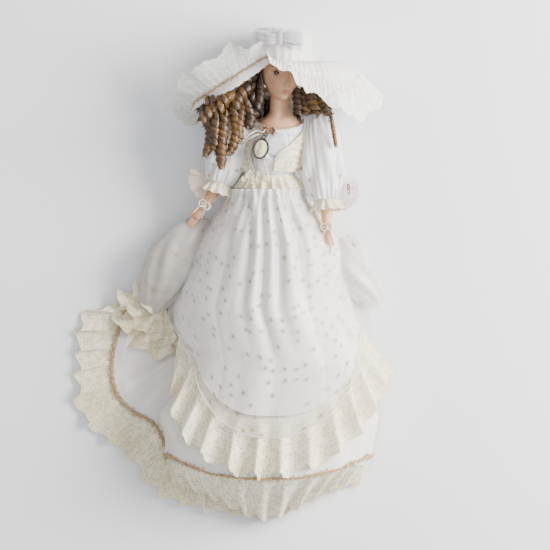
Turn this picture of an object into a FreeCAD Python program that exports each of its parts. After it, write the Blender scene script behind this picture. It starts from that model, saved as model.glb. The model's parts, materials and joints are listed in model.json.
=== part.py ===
import FreeCAD, Part
import math
import os
import Sketcher

# A porcelain lady doll in a long gown, laid on its back on a flat surface.
# Millimetres. +Z is up out of the surface, +Y runs from the feet to the head,
# +X is the doll's own left. The surface is z = 0 and the origin is the middle
# of the whole doll's footprint. Left and right are always the doll's own.

Vector = FreeCAD.Vector

# ---------------------------------------------------------------- dimensions

HEAD = {
    "head_x": 46.0, "head_y": 189.0, "head_z": 34.0,
    "head_half_width": 20.0, "head_half_length": 29.0, "head_half_depth": 24.0,
    "head_wall": 2.5, "pate_y": 209.0, "pate_gap": 0.3,
    "neck_radius": 9.5, "neck_y": 144.0, "neck_length": 26.0, "neck_z": 31.0,
    "nose_x": 50.5, "nose_y": 178.5, "nose_z": 55.5, "nose_width": 2.8, "nose_length": 5.5,
    "nose_depth": 4.6,
    "plate_x": 45.5, "plate_z": 28.0, "plate_half_width": 21.5, "plate_half_depth": 15.0,
    "plate_hem_y": 129.0, "plate_slope_y": 137.0, "plate_collar_y": 145.0, "plate_top_y": 151.0,
    "eye_radius": 4.4, "eye_gap": 0.3, "eye_y": 189.8,
    "eye_right_x": 42.0, "eye_right_z": 53.2, "eye_left_x": 57.2, "eye_left_z": 49.6,
    "earring_radius": 2.0, "earring_y": 174.0, "earring_z": 47.5,
    "earring_right_x": 29.6, "earring_left_x": 62.4,
    "cap_gap": 0.6, "cap_wall": 2.4, "cap_front_z": 43.5, "cap_front_y": 206.0,
    "cap_nape_y": 169.0,
}

TORSO = {
    "shoulder_y": 138.0, "shoulder_x": 45.5, "shoulder_z": 28.0,
    "shoulder_half_width": 22.0, "shoulder_half_depth": 16.0,
    "bust_y": 120.0, "bust_x": 42.0, "bust_z": 29.0,
    "bust_half_width": 22.5, "bust_half_depth": 18.5,
    "midriff_y": 100.0, "midriff_x": 37.0, "midriff_z": 28.5,
    "midriff_half_width": 21.5, "midriff_half_depth": 17.0,
    "waist_y": 83.0, "waist_x": 32.5, "waist_z": 28.0,
    "waist_half_width": 20.0, "waist_half_depth": 15.5,
    "hip_y": 57.0, "hip_x": 32.0, "hip_z": 28.0,
    "hip_half_width": 22.0, "hip_half_depth": 15.0,
    "torso_top_y": 128.0, "bodice_gap": 0.6, "bodice_wall": 2.0,
    "lapel_gap": 1.0, "lapel_wall": 1.8, "peplum_gap": 0.4, "peplum_wall": 2.6,
    "peplum_top_y": 97.0, "peplum_hem_y": 84.5,
    "clasp_x": 32.0, "clasp_y": 137.0, "clasp_z": 49.6, "clasp_petal": 2.3, "clasp_height": 3.0,
    "clasp_ring": 3.4,
    "ribbon_x": 22.0, "ribbon_y": 127.5, "ribbon_z": 49.8, "ribbon_length": 18.0,
    "ribbon_width": 3.6, "ribbon_height": 2.0,
    "flowers_x": 20.0, "flowers_y": 90.0, "flowers_z": 50.4, "flowers_petal": 3.2,
    "flowers_height": 5.0, "flowers_ring": 5.2,
    "string_x": 29.5, "string_y": 98.5, "string_z": 51.8, "string_radius": 0.7,
    "string_length": 7.5,
}

CAMEO = {
    "cameo_x": 27.0, "cameo_y": 117.0, "cameo_z": 51.6,
    "cameo_half_width": 7.1, "cameo_half_length": 9.4, "cameo_depth": 3.0,
    "cameo_rim": 0.9, "cameo_floor": 1.0, "cameo_fit": 0.05, "cameo_dome": 1.6,
    "cameo_dome_edge": 0.4, "cameo_dome_sink": 0.2,
    "cameo_loop_radius": 1.7, "cameo_loop_wire": 0.6, "cameo_tilt": -15.0,
}

HAT = {
    "hat_x": 46.0, "hat_z": 34.0, "crown_mouth_y": 196.0, "crown_top_y": 229.0,
    "crown_radius": 28.4, "crown_top_radius": 22.0, "crown_wall": 1.2,
    "crown_round_y": 218.0, "brim_ring": 29.0, "brim_wall": 1.8,
    "brim_satin_end": 0.58, "brim_braid_end": 0.615, "brim_seam_gap": 0.012,
    "bow_x": 44.0, "bow_y": 218.5, "bow_z": 68.5, "bow_loop_length": 22.0,
    "bow_loop_pinch": 1.5, "bow_loop_depth": 6.0,
    "bow_knot_width": 7.0,
}

SKIRT = {
    "train_depth": 5.0, "train_gap": 0.6, "braid_width": 3.0,
    "arch_foot_z": 6.2,
    "gather_y": 80.0, "gather_x": 32.0, "gather_half_width": 25.6, "gather_height": 50.0,
    "lap_y": 55.0, "lap_x": 33.0, "lap_half_width": 42.0, "lap_height": 57.0,
    "thigh_y": 28.0, "thigh_x": 34.0, "thigh_half_width": 63.0, "thigh_height": 60.0,
    "knee_y": -30.0, "knee_x": 29.0, "knee_half_width": 79.0, "knee_height": 62.0,
    "shin_y": -80.0, "shin_x": 42.0, "shin_half_width": 86.0, "shin_height": 62.0,
    "ankle_y": -130.0, "ankle_x": 37.0, "ankle_half_width": 97.0, "ankle_height": 62.0,
    "hem_y": -184.0, "hem_x": 32.0, "hem_half_width": 93.0, "hem_height": 60.0,
    "tip_y": -229.0, "tip_x": 31.0, "tip_half_width": 62.0, "tip_height": 14.0,
    "underskirt_wall": 2.0, "petticoat_gap": 1.5, "petticoat_wall": 1.5,
    "apron_gap": 0.6, "apron_wall": 1.2, "apron_hem_y": -126.0,
    "organza_gap": 0.7, "organza_wall": 1.0, "organza_hem_y": -146.0,
    "ruffle_wall": 1.6, "ruffle_top_y": -127.0, "ruffle_hem_y": -168.0,
    "flounce_top_y": -188.5, "braid_top_y": -184.6, "braid_hem_y": -188.0,
    "braid_proud": 1.2,
    "pannier_right_x": -60.0, "pannier_right_y": 12.0, "pannier_right_half_length": 38.0,
    "pannier_right_half_width": 12.0, "pannier_right_height": 20.0, "pannier_right_turn": -20.0,
    "pannier_left_x": 125.0, "pannier_left_y": 0.0, "pannier_left_half_length": 30.0,
    "pannier_left_half_width": 11.5, "pannier_left_height": 22.0, "pannier_left_turn": 16.0,
    "side_ruffle_x": -84.0, "side_ruffle_y": -50.0, "side_ruffle_half_width": 20.0,
    "side_ruffle_half_length": 23.0, "side_ruffle_height": 9.0, "side_ruffle_turn": 0.0,
    "puff_gap": 0.2,
}

LIMBS = {
    "arm_radius": 8.6, "arm_start": 6.0, "elbow_clearance": 8.0, "wire_radius": 1.0,
    "wire_bore": 1.3, "wire_margin": 6.0,
    "sleeve_gap": 0.5, "cuff_bore": 10.4, "cuff_radius": 13.4, "cuff_length": 6.4,
    "cuff_offset": 7.4,
    "elbow_ball": 6.0, "forearm_top_radius": 5.8, "wrist_radius": 4.0, "forearm_length": 30.0,
    "palm_half_width": 5.2, "palm_half_depth": 3.6, "palm_half_length": 12.5,
    "palm_centre": 40.0, "wrist_ribbon_bore": 5.6, "wrist_ribbon_wire": 1.5,
    "wrist_ribbon_at": 24.0,
    "shoulder_left_x": 80.0, "shoulder_left_y": 143.0, "shoulder_left_z": 28.5,
    "elbow_left_x": 87.5, "elbow_left_y": 67.0, "elbow_left_z": 36.0,
    "hand_left_x": 90.0, "hand_left_y": 13.0, "hand_left_z": 49.5,
    "sleeve_left_half_width": 19.5, "sleeve_left_half_length": 29.0,
    "sleeve_left_x": 90.5, "sleeve_left_y": 109.0, "sleeve_left_z": 31.0,
    "shoulder_right_x": 6.0, "shoulder_right_y": 141.0, "shoulder_right_z": 27.5,
    "elbow_right_x": -12.0, "elbow_right_y": 84.0, "elbow_right_z": 28.0,
    "hand_right_x": -42.0, "hand_right_y": 41.0, "hand_right_z": 31.0,
    "sleeve_right_half_width": 16.5, "sleeve_right_half_length": 23.0,
    "sleeve_right_x": -7.0, "sleeve_right_y": 116.0, "sleeve_right_z": 27.5,
    "leg_spacing": 16.0, "leg_x": 32.0, "leg_z": 24.5,
    "thigh_top_y": 51.0, "thigh_top_radius": 12.0, "thigh_end_radius": 9.6, "thigh_length": 112.0,
    "bloomer_gap": 0.5, "bloomer_wall": 1.4, "bloomer_start": 4.0, "bloomer_length": 98.0,
    "calf_gap": 0.5, "calf_top_radius": 9.0, "calf_radius": 10.4, "calf_at": 28.0,
    "ankle_radius": 6.2, "ankle_at": 92.0, "calf_length": 112.0,
    "shoe_length": 38.0, "shoe_width": 17.0, "shoe_thickness": 13.0, "shoe_gap": 0.4,
    "shoe_round": 5.0, "heel_depth": 5.0,
}

GROUPS = (HEAD, TORSO, CAMEO, HAT, SKIRT, LIMBS)
ALIASES = {alias for group in GROUPS for alias in group}

doc = FreeCAD.newDocument("porcelain_doll")
sheet = doc.addObject("Spreadsheet::Sheet", "dims")
NODES = []


def fill_sheet():
    """Write every driving dimension into the sheet, one row each."""
    row = 1
    for group in GROUPS:
        for alias, value in group.items():
            sheet.set("A%d" % row, alias)
            sheet.set("B%d" % row, str(value))
            sheet.setAlias("B%d" % row, alias)
            row += 1
    doc.recompute()


def size(alias):
    return float(sheet.get(alias))


def point(name):
    return Vector(size(name + "_x"), size(name + "_y"), size(name + "_z"))


# ------------------------------------------------------------ small builders

def bind(obj, prop, formula):
    """Bind one property to a formula of cells, its words parted by spaces."""
    words = formula.split(" ")
    bound = ["dims." + word if word in ALIASES else word for word in words]
    obj.setExpression(prop, " ".join(bound))


def drive(obj, **cells):
    """Bind properties of an object to cells or formulas of cells."""
    for prop, formula in cells.items():
        bind(obj, prop, formula)
    return obj


def put(obj, x, y, z):
    """Bind the place of an object to three cells or formulas."""
    bind(obj, "Placement.Base.x", x)
    bind(obj, "Placement.Base.y", y)
    bind(obj, "Placement.Base.z", z)
    return obj


def node(obj, label):
    """Name an object as a finished piece."""
    obj.Label = label
    NODES.append(obj)
    return obj


def make(kind, name):
    return doc.addObject(kind, name)


def ellipsoid(name, half_x, half_y, half_z):
    obj = make("Part::Ellipsoid", name)
    return drive(obj, Radius2=half_x, Radius3=half_y, Radius1=half_z)


def shape_node(label, shape):
    """A draped or free-form piece whose shape is worked out from the sheet."""
    obj = make("Part::Feature", label)
    obj.Shape = shape
    return node(obj, label)


def fused(name, parts):
    obj = make("Part::MultiFuse", name)
    obj.Shapes = parts
    return obj


def cut(name, base, tool):
    obj = make("Part::Cut", name)
    obj.Base = base
    obj.Tool = tool
    return obj


def along(start, end):
    """The placement that turns local +Z to run from start to end."""
    return FreeCAD.Placement(start, FreeCAD.Rotation(Vector(0, 0, 1), end - start))


def block(name, length, width, height):
    obj = make("Part::Box", name)
    return drive(obj, Length=length, Width=width, Height=height)


def origin_plane(body, role):
    for feature in body.Origin.OriginFeatures:
        if feature.Role == role:
            return feature


def turned(name, profile):
    """A body turned about its own Z from (radius, station) pairs of cells."""
    body = make("PartDesign::Body", name)
    sketch = body.newObject("Sketcher::SketchObject", name + "_profile")
    sketch.AttachmentSupport = [(origin_plane(body, "XZ_Plane"), "")]
    sketch.MapMode = "FlatFace"
    corners = []
    for radius, station in profile:
        corners.append(Vector(value_of(radius), value_of(station), 0))
    count = len(corners)
    for index in range(count):
        sketch.addGeometry(Part.LineSegment(corners[index], corners[(index + 1) % count]), False)
    for index in range(count):
        sketch.addConstraint(Sketcher.Constraint("Coincident", index, 2, (index + 1) % count, 1))
    for index, (radius, station) in enumerate(profile):
        bind_corner(sketch, index, "DistanceX", radius, corners[index].x, -2)
        bind_corner(sketch, index, "DistanceY", station, corners[index].y, -1)
    turn = body.newObject("PartDesign::Revolution", name + "_turn")
    turn.Profile = sketch
    turn.ReferenceAxis = (sketch, ["V_Axis"])
    turn.Angle = 360.0
    return body


def value_of(formula):
    """The number that a cell, or a sum or difference of cells, stands for."""
    total = 0.0
    sign = 1.0
    for word in formula.split(" "):
        if word == "+":
            sign = 1.0
        elif word == "-":
            sign = -1.0
        elif word in ALIASES:
            total += sign * size(word)
        else:
            total += sign * float(word)
    return total


def bind_corner(sketch, index, kind, formula, value, axis):
    """Fix one corner of a profile: on an axis if zero, else at a driven distance."""
    if abs(value) < 1e-9:
        sketch.addConstraint(Sketcher.Constraint("PointOnObject", index, 1, axis))
        return
    number = sketch.addConstraint(Sketcher.Constraint(kind, -1, 1, index, 1, value))
    drive(sketch, **{"Constraints[%d]" % number: formula})


# ----------------------------------------------------------------- the head

def shoulder_plate():
    """The porcelain shoulders: ovals from the plate's hem up to the neck."""
    rings = []
    for name, share in (("hem", 1.0), ("slope", 0.9), ("collar", 0.6), ("top", 0.0)):
        ring = make("Part::Ellipse", "plate_" + name)
        grow = "neck_radius + ( %s - neck_radius ) * " + str(share)
        drive(ring, MajorRadius=grow % "plate_half_width", MinorRadius=grow % "plate_half_depth")
        ring.Placement.Rotation = FreeCAD.Rotation(Vector(1, 0, 0), -90)
        put(ring, "plate_x", "plate_%s_y" % name, "plate_z")
        rings.append(ring)
    plate = make("Part::Loft", "shoulder_plate")
    plate.Sections = rings
    plate.Solid = True
    return plate


def make_head():
    """The shoulder head: head, neck, nose and shoulder plate cast as one."""
    skull = ellipsoid("skull", "head_half_width", "head_half_length", "head_half_depth")
    put(skull, "head_x", "head_y", "head_z")
    neck = make("Part::Cylinder", "neck")
    drive(neck, Radius="neck_radius", Height="neck_length")
    neck.Placement.Rotation = FreeCAD.Rotation(Vector(1, 0, 0), -90)
    put(neck, "plate_x", "neck_y", "neck_z")
    nose = ellipsoid("nose", "nose_width", "nose_length", "nose_depth")
    put(nose, "nose_x", "nose_y", "nose_z")
    casting = fused("head_casting", [skull, neck, nose, shoulder_plate()])

    hollow = ellipsoid("head_hollow", "head_half_width - head_wall",
                       "head_half_length - head_wall", "head_half_depth - head_wall")
    put(hollow, "head_x", "head_y", "head_z")
    above = block("pate_opening", "head_half_depth * 4", "head_half_length * 2",
                  "head_half_depth * 4")
    put(above, "head_x - head_half_depth * 2", "pate_y", "head_z - head_half_depth * 2")
    sockets = [eye_ball(side, "socket", "eye_radius + eye_gap") for side in ("left", "right")]
    tools = fused("head_openings", [hollow, above] + sockets)
    node(cut("shoulder_head_cut", casting, tools), "shoulder_head")


def eye_ball(side, purpose, radius):
    ball = make("Part::Sphere", "eye_%s_%s" % (side, purpose))
    drive(ball, Radius=radius)
    return put(ball, "eye_%s_x" % side, "eye_y", "eye_%s_z" % side)


def make_pate():
    """The domed lid that closes the head under the wig."""
    dome = ellipsoid("pate_dome", "head_half_width", "head_half_length", "head_half_depth")
    put(dome, "head_x", "head_y", "head_z")
    front = block("pate_cut", "head_half_depth * 4", "head_half_length * 2",
                  "head_half_depth * 4")
    put(front, "head_x - head_half_depth * 2", "pate_y + pate_gap - head_half_length * 2",
        "head_z - head_half_depth * 2")
    node(cut("pate_solid", dome, front), "head_pate")


def make_eyes_and_earrings():
    for side in ("left", "right"):
        node(eye_ball(side, "glass", "eye_radius"), "eye_" + side)
        pearl = make("Part::Sphere", "pearl_" + side)
        drive(pearl, Radius="earring_radius")
        put(pearl, "earring_%s_x" % side, "earring_y", "earring_z")
        node(pearl, "earring_" + side)


def make_wig_cap():
    """The cloth cap that the ringlets are sewn to, open at the face and nape."""
    outer = ellipsoid("cap_outer", "head_half_width + cap_gap + cap_wall",
                      "head_half_length + cap_gap + cap_wall",
                      "head_half_depth + cap_gap + cap_wall - 0.8")
    put(outer, "head_x", "head_y", "head_z")
    inner = ellipsoid("cap_inner", "head_half_width + cap_gap", "head_half_length + cap_gap",
                      "head_half_depth + cap_gap")
    put(inner, "head_x", "head_y", "head_z")
    face = block("cap_face", "head_half_depth * 4", "head_half_length * 4",
                 "head_half_depth * 4")
    put(face, "head_x - head_half_depth * 2", "cap_front_y - head_half_length * 4",
        "cap_front_z")
    nape = block("cap_nape", "head_half_depth * 4", "head_half_length * 2",
                 "head_half_depth * 4")
    put(nape, "head_x - head_half_depth * 2", "cap_nape_y - head_half_length * 2",
        "head_z - head_half_depth * 2")
    tools = fused("cap_openings", [inner, face, nape])
    node(cut("cap_solid", outer, tools), "wig_cap")


def ringlet(start, end, radius):
    """One straight run of a rolled curl with round ends."""
    run = end - start
    curl = Part.makeCylinder(radius, run.Length, start, run)
    for tip in (start, end):
        curl = curl.fuse(Part.makeSphere(radius, tip))
    return curl


def ringlet_mass(label, curls):
    mass = None
    for start, end, radius in curls:
        curl = ringlet(Vector(*start), Vector(*end), radius)
        mass = curl if mass is None else mass.fuse(curl)
    shape_node(label, mass.removeSplitter())


def make_ringlets():
    """The curls: a full fall over the right shoulder, a short one at the left."""
    ringlet_mass("ringlets_right", (
        ((13, 166, 40), (-22, 155, 30), 7.0),
        ((13, 166, 40), (-14, 155, 20), 7.5),
        ((13, 166, 40), (-4, 157, 48), 7.5),
        ((-4, 157, 48), (-22, 138, 54), 6.0),
        ((-22, 138, 54), (-24, 112, 54), 5.5),
        ((-4, 157, 48), (-6, 132, 55), 6.5),
        ((-6, 132, 55), (-10, 104, 55), 5.5),
        ((-4, 157, 48), (8, 140, 56), 6.0),
        ((8, 140, 56), (6, 124, 57), 5.5)))
    ringlet_mass("ringlets_left", (
        ((79, 168, 30), (80, 156, 28), 5.5),
        ((79, 168, 30), (79, 156, 44), 5.5),
        ((79, 156, 44), (88, 148, 54), 2.6),
        ((88, 148, 54), (93, 118, 55), 2.2)))
    back = Part.makeBox(50, 26, 6.6, Vector(21, 117, 0))
    shape_node("ringlets_back", back.makeFillet(3.0, vertical_edges(back)))


def vertical_edges(solid):
    upright = []
    for edge in solid.Edges:
        way = edge.tangentAt(edge.FirstParameter)
        if abs(way.z) > 0.99:
            upright.append(edge)
    return upright


# ---------------------------------------------------------- torso and bodice

TORSO_STATIONS = ("shoulder", "bust", "midriff", "waist", "hip")
SKIRT_STATIONS = ("gather", "lap", "thigh", "knee", "shin", "ankle", "hem", "tip")


def between(stations, y, fields):
    """Straight interpolation of the named fields at one place along the doll."""
    places = [size(name + "_y") for name in stations]
    for index in range(len(places) - 1):
        if places[index] >= y >= places[index + 1]:
            share = (places[index] - y) / (places[index] - places[index + 1])
            upper = [size(stations[index] + field) for field in fields]
            lower = [size(stations[index + 1] + field) for field in fields]
            return [a + share * (b - a) for a, b in zip(upper, lower)]
    end = stations[0] if y > places[0] else stations[-1]
    return [size(end + field) for field in fields]


def station_list(stations, top, bottom):
    """The two ends of a stretch and every station between them."""
    inside = [size(name + "_y") for name in stations]
    return [top] + [y for y in inside if bottom + 1.0 < y < top - 1.0] + [bottom]


def torso_oval(y, grow):
    """A full oval section of the torso, grown outward all round."""
    x, z, half_width, half_depth = between(
        TORSO_STATIONS, y, ("_x", "_z", "_half_width", "_half_depth"))
    points = []
    for step in range(16):
        angle = 2 * math.pi * step / 16
        points.append(Vector(x + (half_width + grow) * math.cos(angle), y,
                             z + (half_depth + grow) * math.sin(angle)))
    curve = Part.BSplineCurve()
    curve.interpolate(points, PeriodicFlag=True)
    return Part.Wire([curve.toShape()])


def torso_loft(top, bottom, grow):
    places = station_list(TORSO_STATIONS, top, bottom)
    return Part.makeLoft([torso_oval(y, grow) for y in places], True, True)


def torso_band(y, grow, wall, first, last):
    """A section of a strip that lies on the bodice between two angles."""
    x, z, half_width, half_depth = between(
        TORSO_STATIONS, y, ("_x", "_z", "_half_width", "_half_depth"))

    def arc(extra):
        points = []
        for step in range(7):
            angle = math.radians(first + (last - first) * step / 6)
            points.append(Vector(x + (half_width + extra) * math.cos(angle), y,
                                 z + (half_depth + extra) * math.sin(angle)))
        return points

    return band_wire(arc(grow), arc(grow + wall))


def band_wire(inner, outer):
    """Close two curves of points into one section wire."""
    low = Part.BSplineCurve()
    low.interpolate(inner)
    high = Part.BSplineCurve()
    high.interpolate(outer)
    return Part.Wire([low.toShape(), Part.makeLine(inner[-1], outer[-1]),
                      high.toShape(), Part.makeLine(outer[0], inner[0])])


def make_torso():
    """The stuffed cloth torso and the satin bodice shell round it."""
    shape_node("torso_cloth", torso_loft(size("torso_top_y"), size("hip_y"), 0.0))
    gap = size("bodice_gap")
    outer = torso_loft(size("shoulder_y"), size("waist_y"), gap + size("bodice_wall"))
    inner = torso_loft(size("shoulder_y"), size("waist_y"), gap)
    shape_node("bodice", outer.cut(inner))


# The left lapel's sections: how far up the doll, and the first and last angle
# round the bodice (0 toward the left hand, 90 up out of the surface).
LAPEL_RUNS = ((134.0, 28.0, 62.0), (120.0, 34.0, 68.0), (100.0, 62.0, 82.0))

# The angles round the bodice between which the waist lace runs.
PEPLUM_RUN = (12.0, 168.0)

PETALS = 5


def make_lapels():
    """The lace collar pieces, from each shoulder to the middle of the waist."""
    lift = size("bodice_gap") + size("bodice_wall") + size("lapel_gap")
    wall = size("lapel_wall")
    for side, mirror in (("left", False), ("right", True)):
        sections = []
        for y, first, last in LAPEL_RUNS:
            if mirror:
                first, last = 180.0 - last, 180.0 - first
            sections.append(torso_band(y, lift, wall, first, last))
        shape_node("lapel_" + side, Part.makeLoft(sections, True, True))


def blossom(name):
    """A flat flower: round petals on a ring about a middle."""
    ring = size(name + "_ring")
    places = [(0.0, 0.0)]
    for index in range(PETALS):
        angle = 2 * math.pi * index / PETALS
        places.append((round(ring * math.cos(angle), 3), round(ring * math.sin(angle), 3)))
    petals = []
    for index, (shift_x, shift_y) in enumerate(places):
        petal = make("Part::Cylinder", "%s_petal_%d" % (name, index))
        drive(petal, Radius=name + "_petal", Height=name + "_height")
        put(petal, "%s_x + %s" % (name, shift_x), "%s_y + %s" % (name, shift_y), name + "_z")
        petals.append(petal)
    return fused(name + "_blossom", petals)


def make_bodice_trim():
    """Peplum lace, its flowers, the clasp, the ribbon and the laced string."""
    lift = size("bodice_gap") + size("bodice_wall") + size("peplum_gap")
    top = size("peplum_top_y")
    hem = size("peplum_hem_y")
    sections = [torso_band(y, lift, size("peplum_wall"), *PEPLUM_RUN) for y in (top, hem)]
    shape_node("waist_lace", Part.makeLoft(sections, True, True))

    node(blossom("flowers"), "waist_flowers")
    node(blossom("clasp"), "flower_clasp")

    ribbon = block("ribbon_strip", "ribbon_length", "ribbon_width", "ribbon_height")
    put(ribbon, "ribbon_x - ribbon_length / 2", "ribbon_y", "ribbon_z")
    node(ribbon, "neck_ribbon")

    string = make("Part::Cylinder", "string_run")
    drive(string, Radius="string_radius", Height="string_length")
    string.Placement.Rotation = FreeCAD.Rotation(Vector(1, 0, 0), -90)
    put(string, "string_x", "string_y", "string_z")
    node(string, "bodice_string")


def oval_prism(half_width, half_length, height, base):
    """An upright prism on an oval, at a height above the local origin."""
    oval = Part.Ellipse(Vector(0, 0, base), half_length, half_width)
    face = Part.Face(Part.Wire([oval.toShape()]))
    prism = face.extrude(Vector(0, 0, height))
    prism.rotate(Vector(0, 0, 0), Vector(0, 0, 1), 90)
    return prism


def make_cameo():
    """The brooch: a black rimmed setting with a loop, and its oval stone."""
    rim = size("cameo_rim")
    half_width = size("cameo_half_width")
    half_length = size("cameo_half_length")
    depth = size("cameo_depth")
    floor = size("cameo_floor")
    fit = size("cameo_fit")
    setting = oval_prism(half_width, half_length, depth, 0.0)
    setting = setting.cut(oval_prism(half_width - rim, half_length - rim, depth, floor))
    loop = Part.makeTorus(size("cameo_loop_radius"), size("cameo_loop_wire"),
                          Vector(0, half_length + size("cameo_loop_radius"), depth / 2))
    turn = FreeCAD.Placement(point("cameo"),
                             FreeCAD.Rotation(Vector(0, 0, 1), size("cameo_tilt")))
    frame = make("Part::Feature", "cameo_setting")
    frame.Shape = setting.fuse(loop)
    frame.Placement = turn
    node(frame, "cameo_frame")

    inner_width = half_width - rim - fit
    inner_length = half_length - rim - fit
    stone = oval_prism(inner_width, inner_length, depth - floor - fit, floor + fit)
    rise = size("cameo_dome")
    dome = Part.makeSphere(1.0)
    stretch = FreeCAD.Matrix()
    edge = size("cameo_dome_edge")
    stretch.scale(inner_width - edge, inner_length - edge, rise)
    dome = dome.transformGeometry(stretch)
    dome.translate(Vector(0, 0, depth - size("cameo_dome_sink")))
    gem = make("Part::Feature", "cameo_gem")
    gem.Shape = stone.fuse(dome)
    gem.Placement = turn
    node(gem, "cameo_stone")


# ------------------------------------------------------------------- skirts

def skirt_band(y, low, high, first, last):
    """A section of a skirt layer between two lifts and two angles."""
    x, half_width, height = between(SKIRT_STATIONS, y, ("_x", "_half_width", "_height"))
    foot = size("arch_foot_z")

    def arc(lift):
        points = []
        for step in range(13):
            angle = math.radians(first + (last - first) * step / 12)
            points.append(Vector(x + (half_width + lift) * math.cos(angle), y,
                                 foot + (height - foot + lift) * math.sin(angle)))
        return points

    return band_wire(arc(low), arc(high))


def skirt_layer(label, top, bottom, low, high, first=0.0, last=180.0):
    places = station_list(SKIRT_STATIONS, top, bottom)
    sections = [skirt_band(y, low, high, first, last) for y in places]
    return shape_node(label, Part.makeLoft(sections, True, True))


def make_front_skirts():
    """The arched layers over the legs, from the petticoat outward."""
    wall = size("underskirt_wall")
    gather = size("gather_y")
    hem = size("hem_y")
    inner = -wall - size("petticoat_gap")
    skirt_layer("petticoat", gather - 22.0, hem, inner - size("petticoat_wall"), inner)
    skirt_layer("underskirt", gather - 3.0, hem, -wall, 0.0)
    apron = size("apron_gap")
    apron_top = apron + size("apron_wall")
    skirt_layer("apron", gather, size("apron_hem_y"), apron, apron_top, 6.0, 174.0)
    veil = apron_top + size("organza_gap")
    skirt_layer("apron_organza", gather, size("organza_hem_y"), veil,
                veil + size("organza_wall"), 8.0, 172.0)
    skirt_layer("lace_tier", size("ruffle_top_y"), size("ruffle_hem_y"), apron,
                apron + size("ruffle_wall"), 4.0, 176.0)
    skirt_layer("hem_braid", size("braid_top_y"), size("braid_hem_y"), -wall,
                size("braid_proud"))
    skirt_layer("hem_flounce", size("flounce_top_y"), size("tip_y"), -wall, 0.0)


# The train is one smooth outline: waist, left side, hem, and the long sweep to
# the right. Points run clockwise seen from above.
TRAIN_OUTLINE = (
    (54, 74), (96, 36), (122, 6), (128, -50), (129, -110), (124, -160),
    (92, -172), (35, -184), (-29, -176), (-60, -158), (-70, -137), (-95, -122),
    (-110, -98), (-108, -70), (-98, -30), (-66, 12), (-22, 46), (10, 74))

# The braid runs from the right of the hem round to the left side of the train.
BRAID_FIRST = 4
BRAID_LAST = 14

# The lace flounce's free edge, from the right of the hem round to the train.
FLOUNCE_FIRST = 3
FLOUNCE_EDGE = (
    (136, -56), (139, -110), (137, -150), (122, -180), (90, -207), (28, -229),
    (-29, -218), (-61, -207), (-88, -178), (-130, -139), (-140.7, -114),
    (-124, -64), (-106, -22))


def outline_curve(points):
    curve = Part.BSplineCurve()
    curve.interpolate([Vector(x, y, 0) for x, y in points], PeriodicFlag=True)
    return curve


def prism(wire, height):
    return Part.Face(wire).extrude(Vector(0, 0, height))


def largest(shape):
    return max(shape.Solids, key=lambda solid: solid.Volume)


def beside(curve, first, last, distance):
    """A curve that runs beside a stretch of another, at a distance outside it."""
    start = curve.parameter(Vector(*first, 0))
    end = curve.parameter(Vector(*last, 0))
    points = []
    for step in range(41):
        place = start + (end - start) * step / 40
        forward = curve.tangent(place)[0]
        points.append(curve.value(place) + Vector(-forward.y, forward.x, 0) * distance)
    side = Part.BSplineCurve()
    side.interpolate(points)
    return side.toShape(), points[0], points[-1]


def make_train():
    """The back of the dress: flat satin, its braid and its lace flounce."""
    outline = outline_curve(TRAIN_OUTLINE)
    edge = Part.Wire([outline.toShape()])
    gap = size("train_gap")
    width = size("braid_width")
    shape_node("train", prism(edge, size("train_depth")))

    stretch = (TRAIN_OUTLINE[BRAID_FIRST], TRAIN_OUTLINE[BRAID_LAST])
    near, near_start, near_end = beside(outline, *stretch, gap)
    far, far_start, far_end = beside(outline, *stretch, gap + width)
    strip = Part.Wire([near, Part.makeLine(near_end, far_end), far,
                       Part.makeLine(far_start, near_start)])
    shape_node("train_braid", prism(strip, size("train_depth")))

    stretch = (TRAIN_OUTLINE[FLOUNCE_FIRST], TRAIN_OUTLINE[BRAID_LAST])
    inner, inner_start, inner_end = beside(outline, *stretch, gap + width + gap)
    points = [Vector(x, y, 0) for x, y in FLOUNCE_EDGE]
    outer = Part.BSplineCurve()
    outer.interpolate(points)
    lace = Part.Wire([inner, Part.makeLine(inner_end, points[-1]), outer.toShape(),
                      Part.makeLine(points[0], inner_start)])
    shape_node("train_flounce", prism(lace, size("train_depth")))


def make_puff(name):
    """A puffed bunch of the overskirt, flat where it lies on the train."""
    dome = ellipsoid(name + "_dome", name + "_half_width", name + "_half_length",
                     name + "_height")
    base = block(name + "_base", name + "_half_length * 3", name + "_half_length * 3",
                 name + "_height * 2")
    put(dome, "0", "0", "0")
    put(base, "0 - " + name + "_half_length * 1.5", "0 - " + name + "_half_length * 1.5",
        "0 - " + name + "_height * 2")
    puff = cut(name + "_solid", dome, base)
    puff.Placement = FreeCAD.Placement(
        Vector(size(name + "_x"), size(name + "_y"), size("arch_foot_z") + size("puff_gap")),
        FreeCAD.Rotation(Vector(0, 0, 1), size(name + "_turn")))
    node(puff, name)


# ---------------------------------------------------------------------- hat

# The brim's free edge: for an angle round the head (0 toward the left hand, 90
# up out of the surface, 180 toward the right hand) how far it reaches from the
# head's axis, and how far up the doll it lies.
BRIM_EDGE = (
    (-82, 30.5, 160), (-62, 34.0, 152), (-40, 47.0, 148), (-18, 78.0, 150), (0, 93.0, 156),
    (18, 88.0, 160), (38, 66.0, 165), (58, 50.0, 172), (76, 46.0, 178), (90, 50.0, 192),
    (104, 56.0, 208), (122, 60.0, 214), (140, 66.0, 210), (158, 82.0, 198), (172, 98.0, 178),
    (184, 100.0, 164), (200, 84.0, 150), (220, 50.0, 146), (242, 34.5, 150), (262, 30.5, 160))


# How much later the brim leaves the head's plane than it leaves the crown.
BRIM_BEND = 1.35


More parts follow.
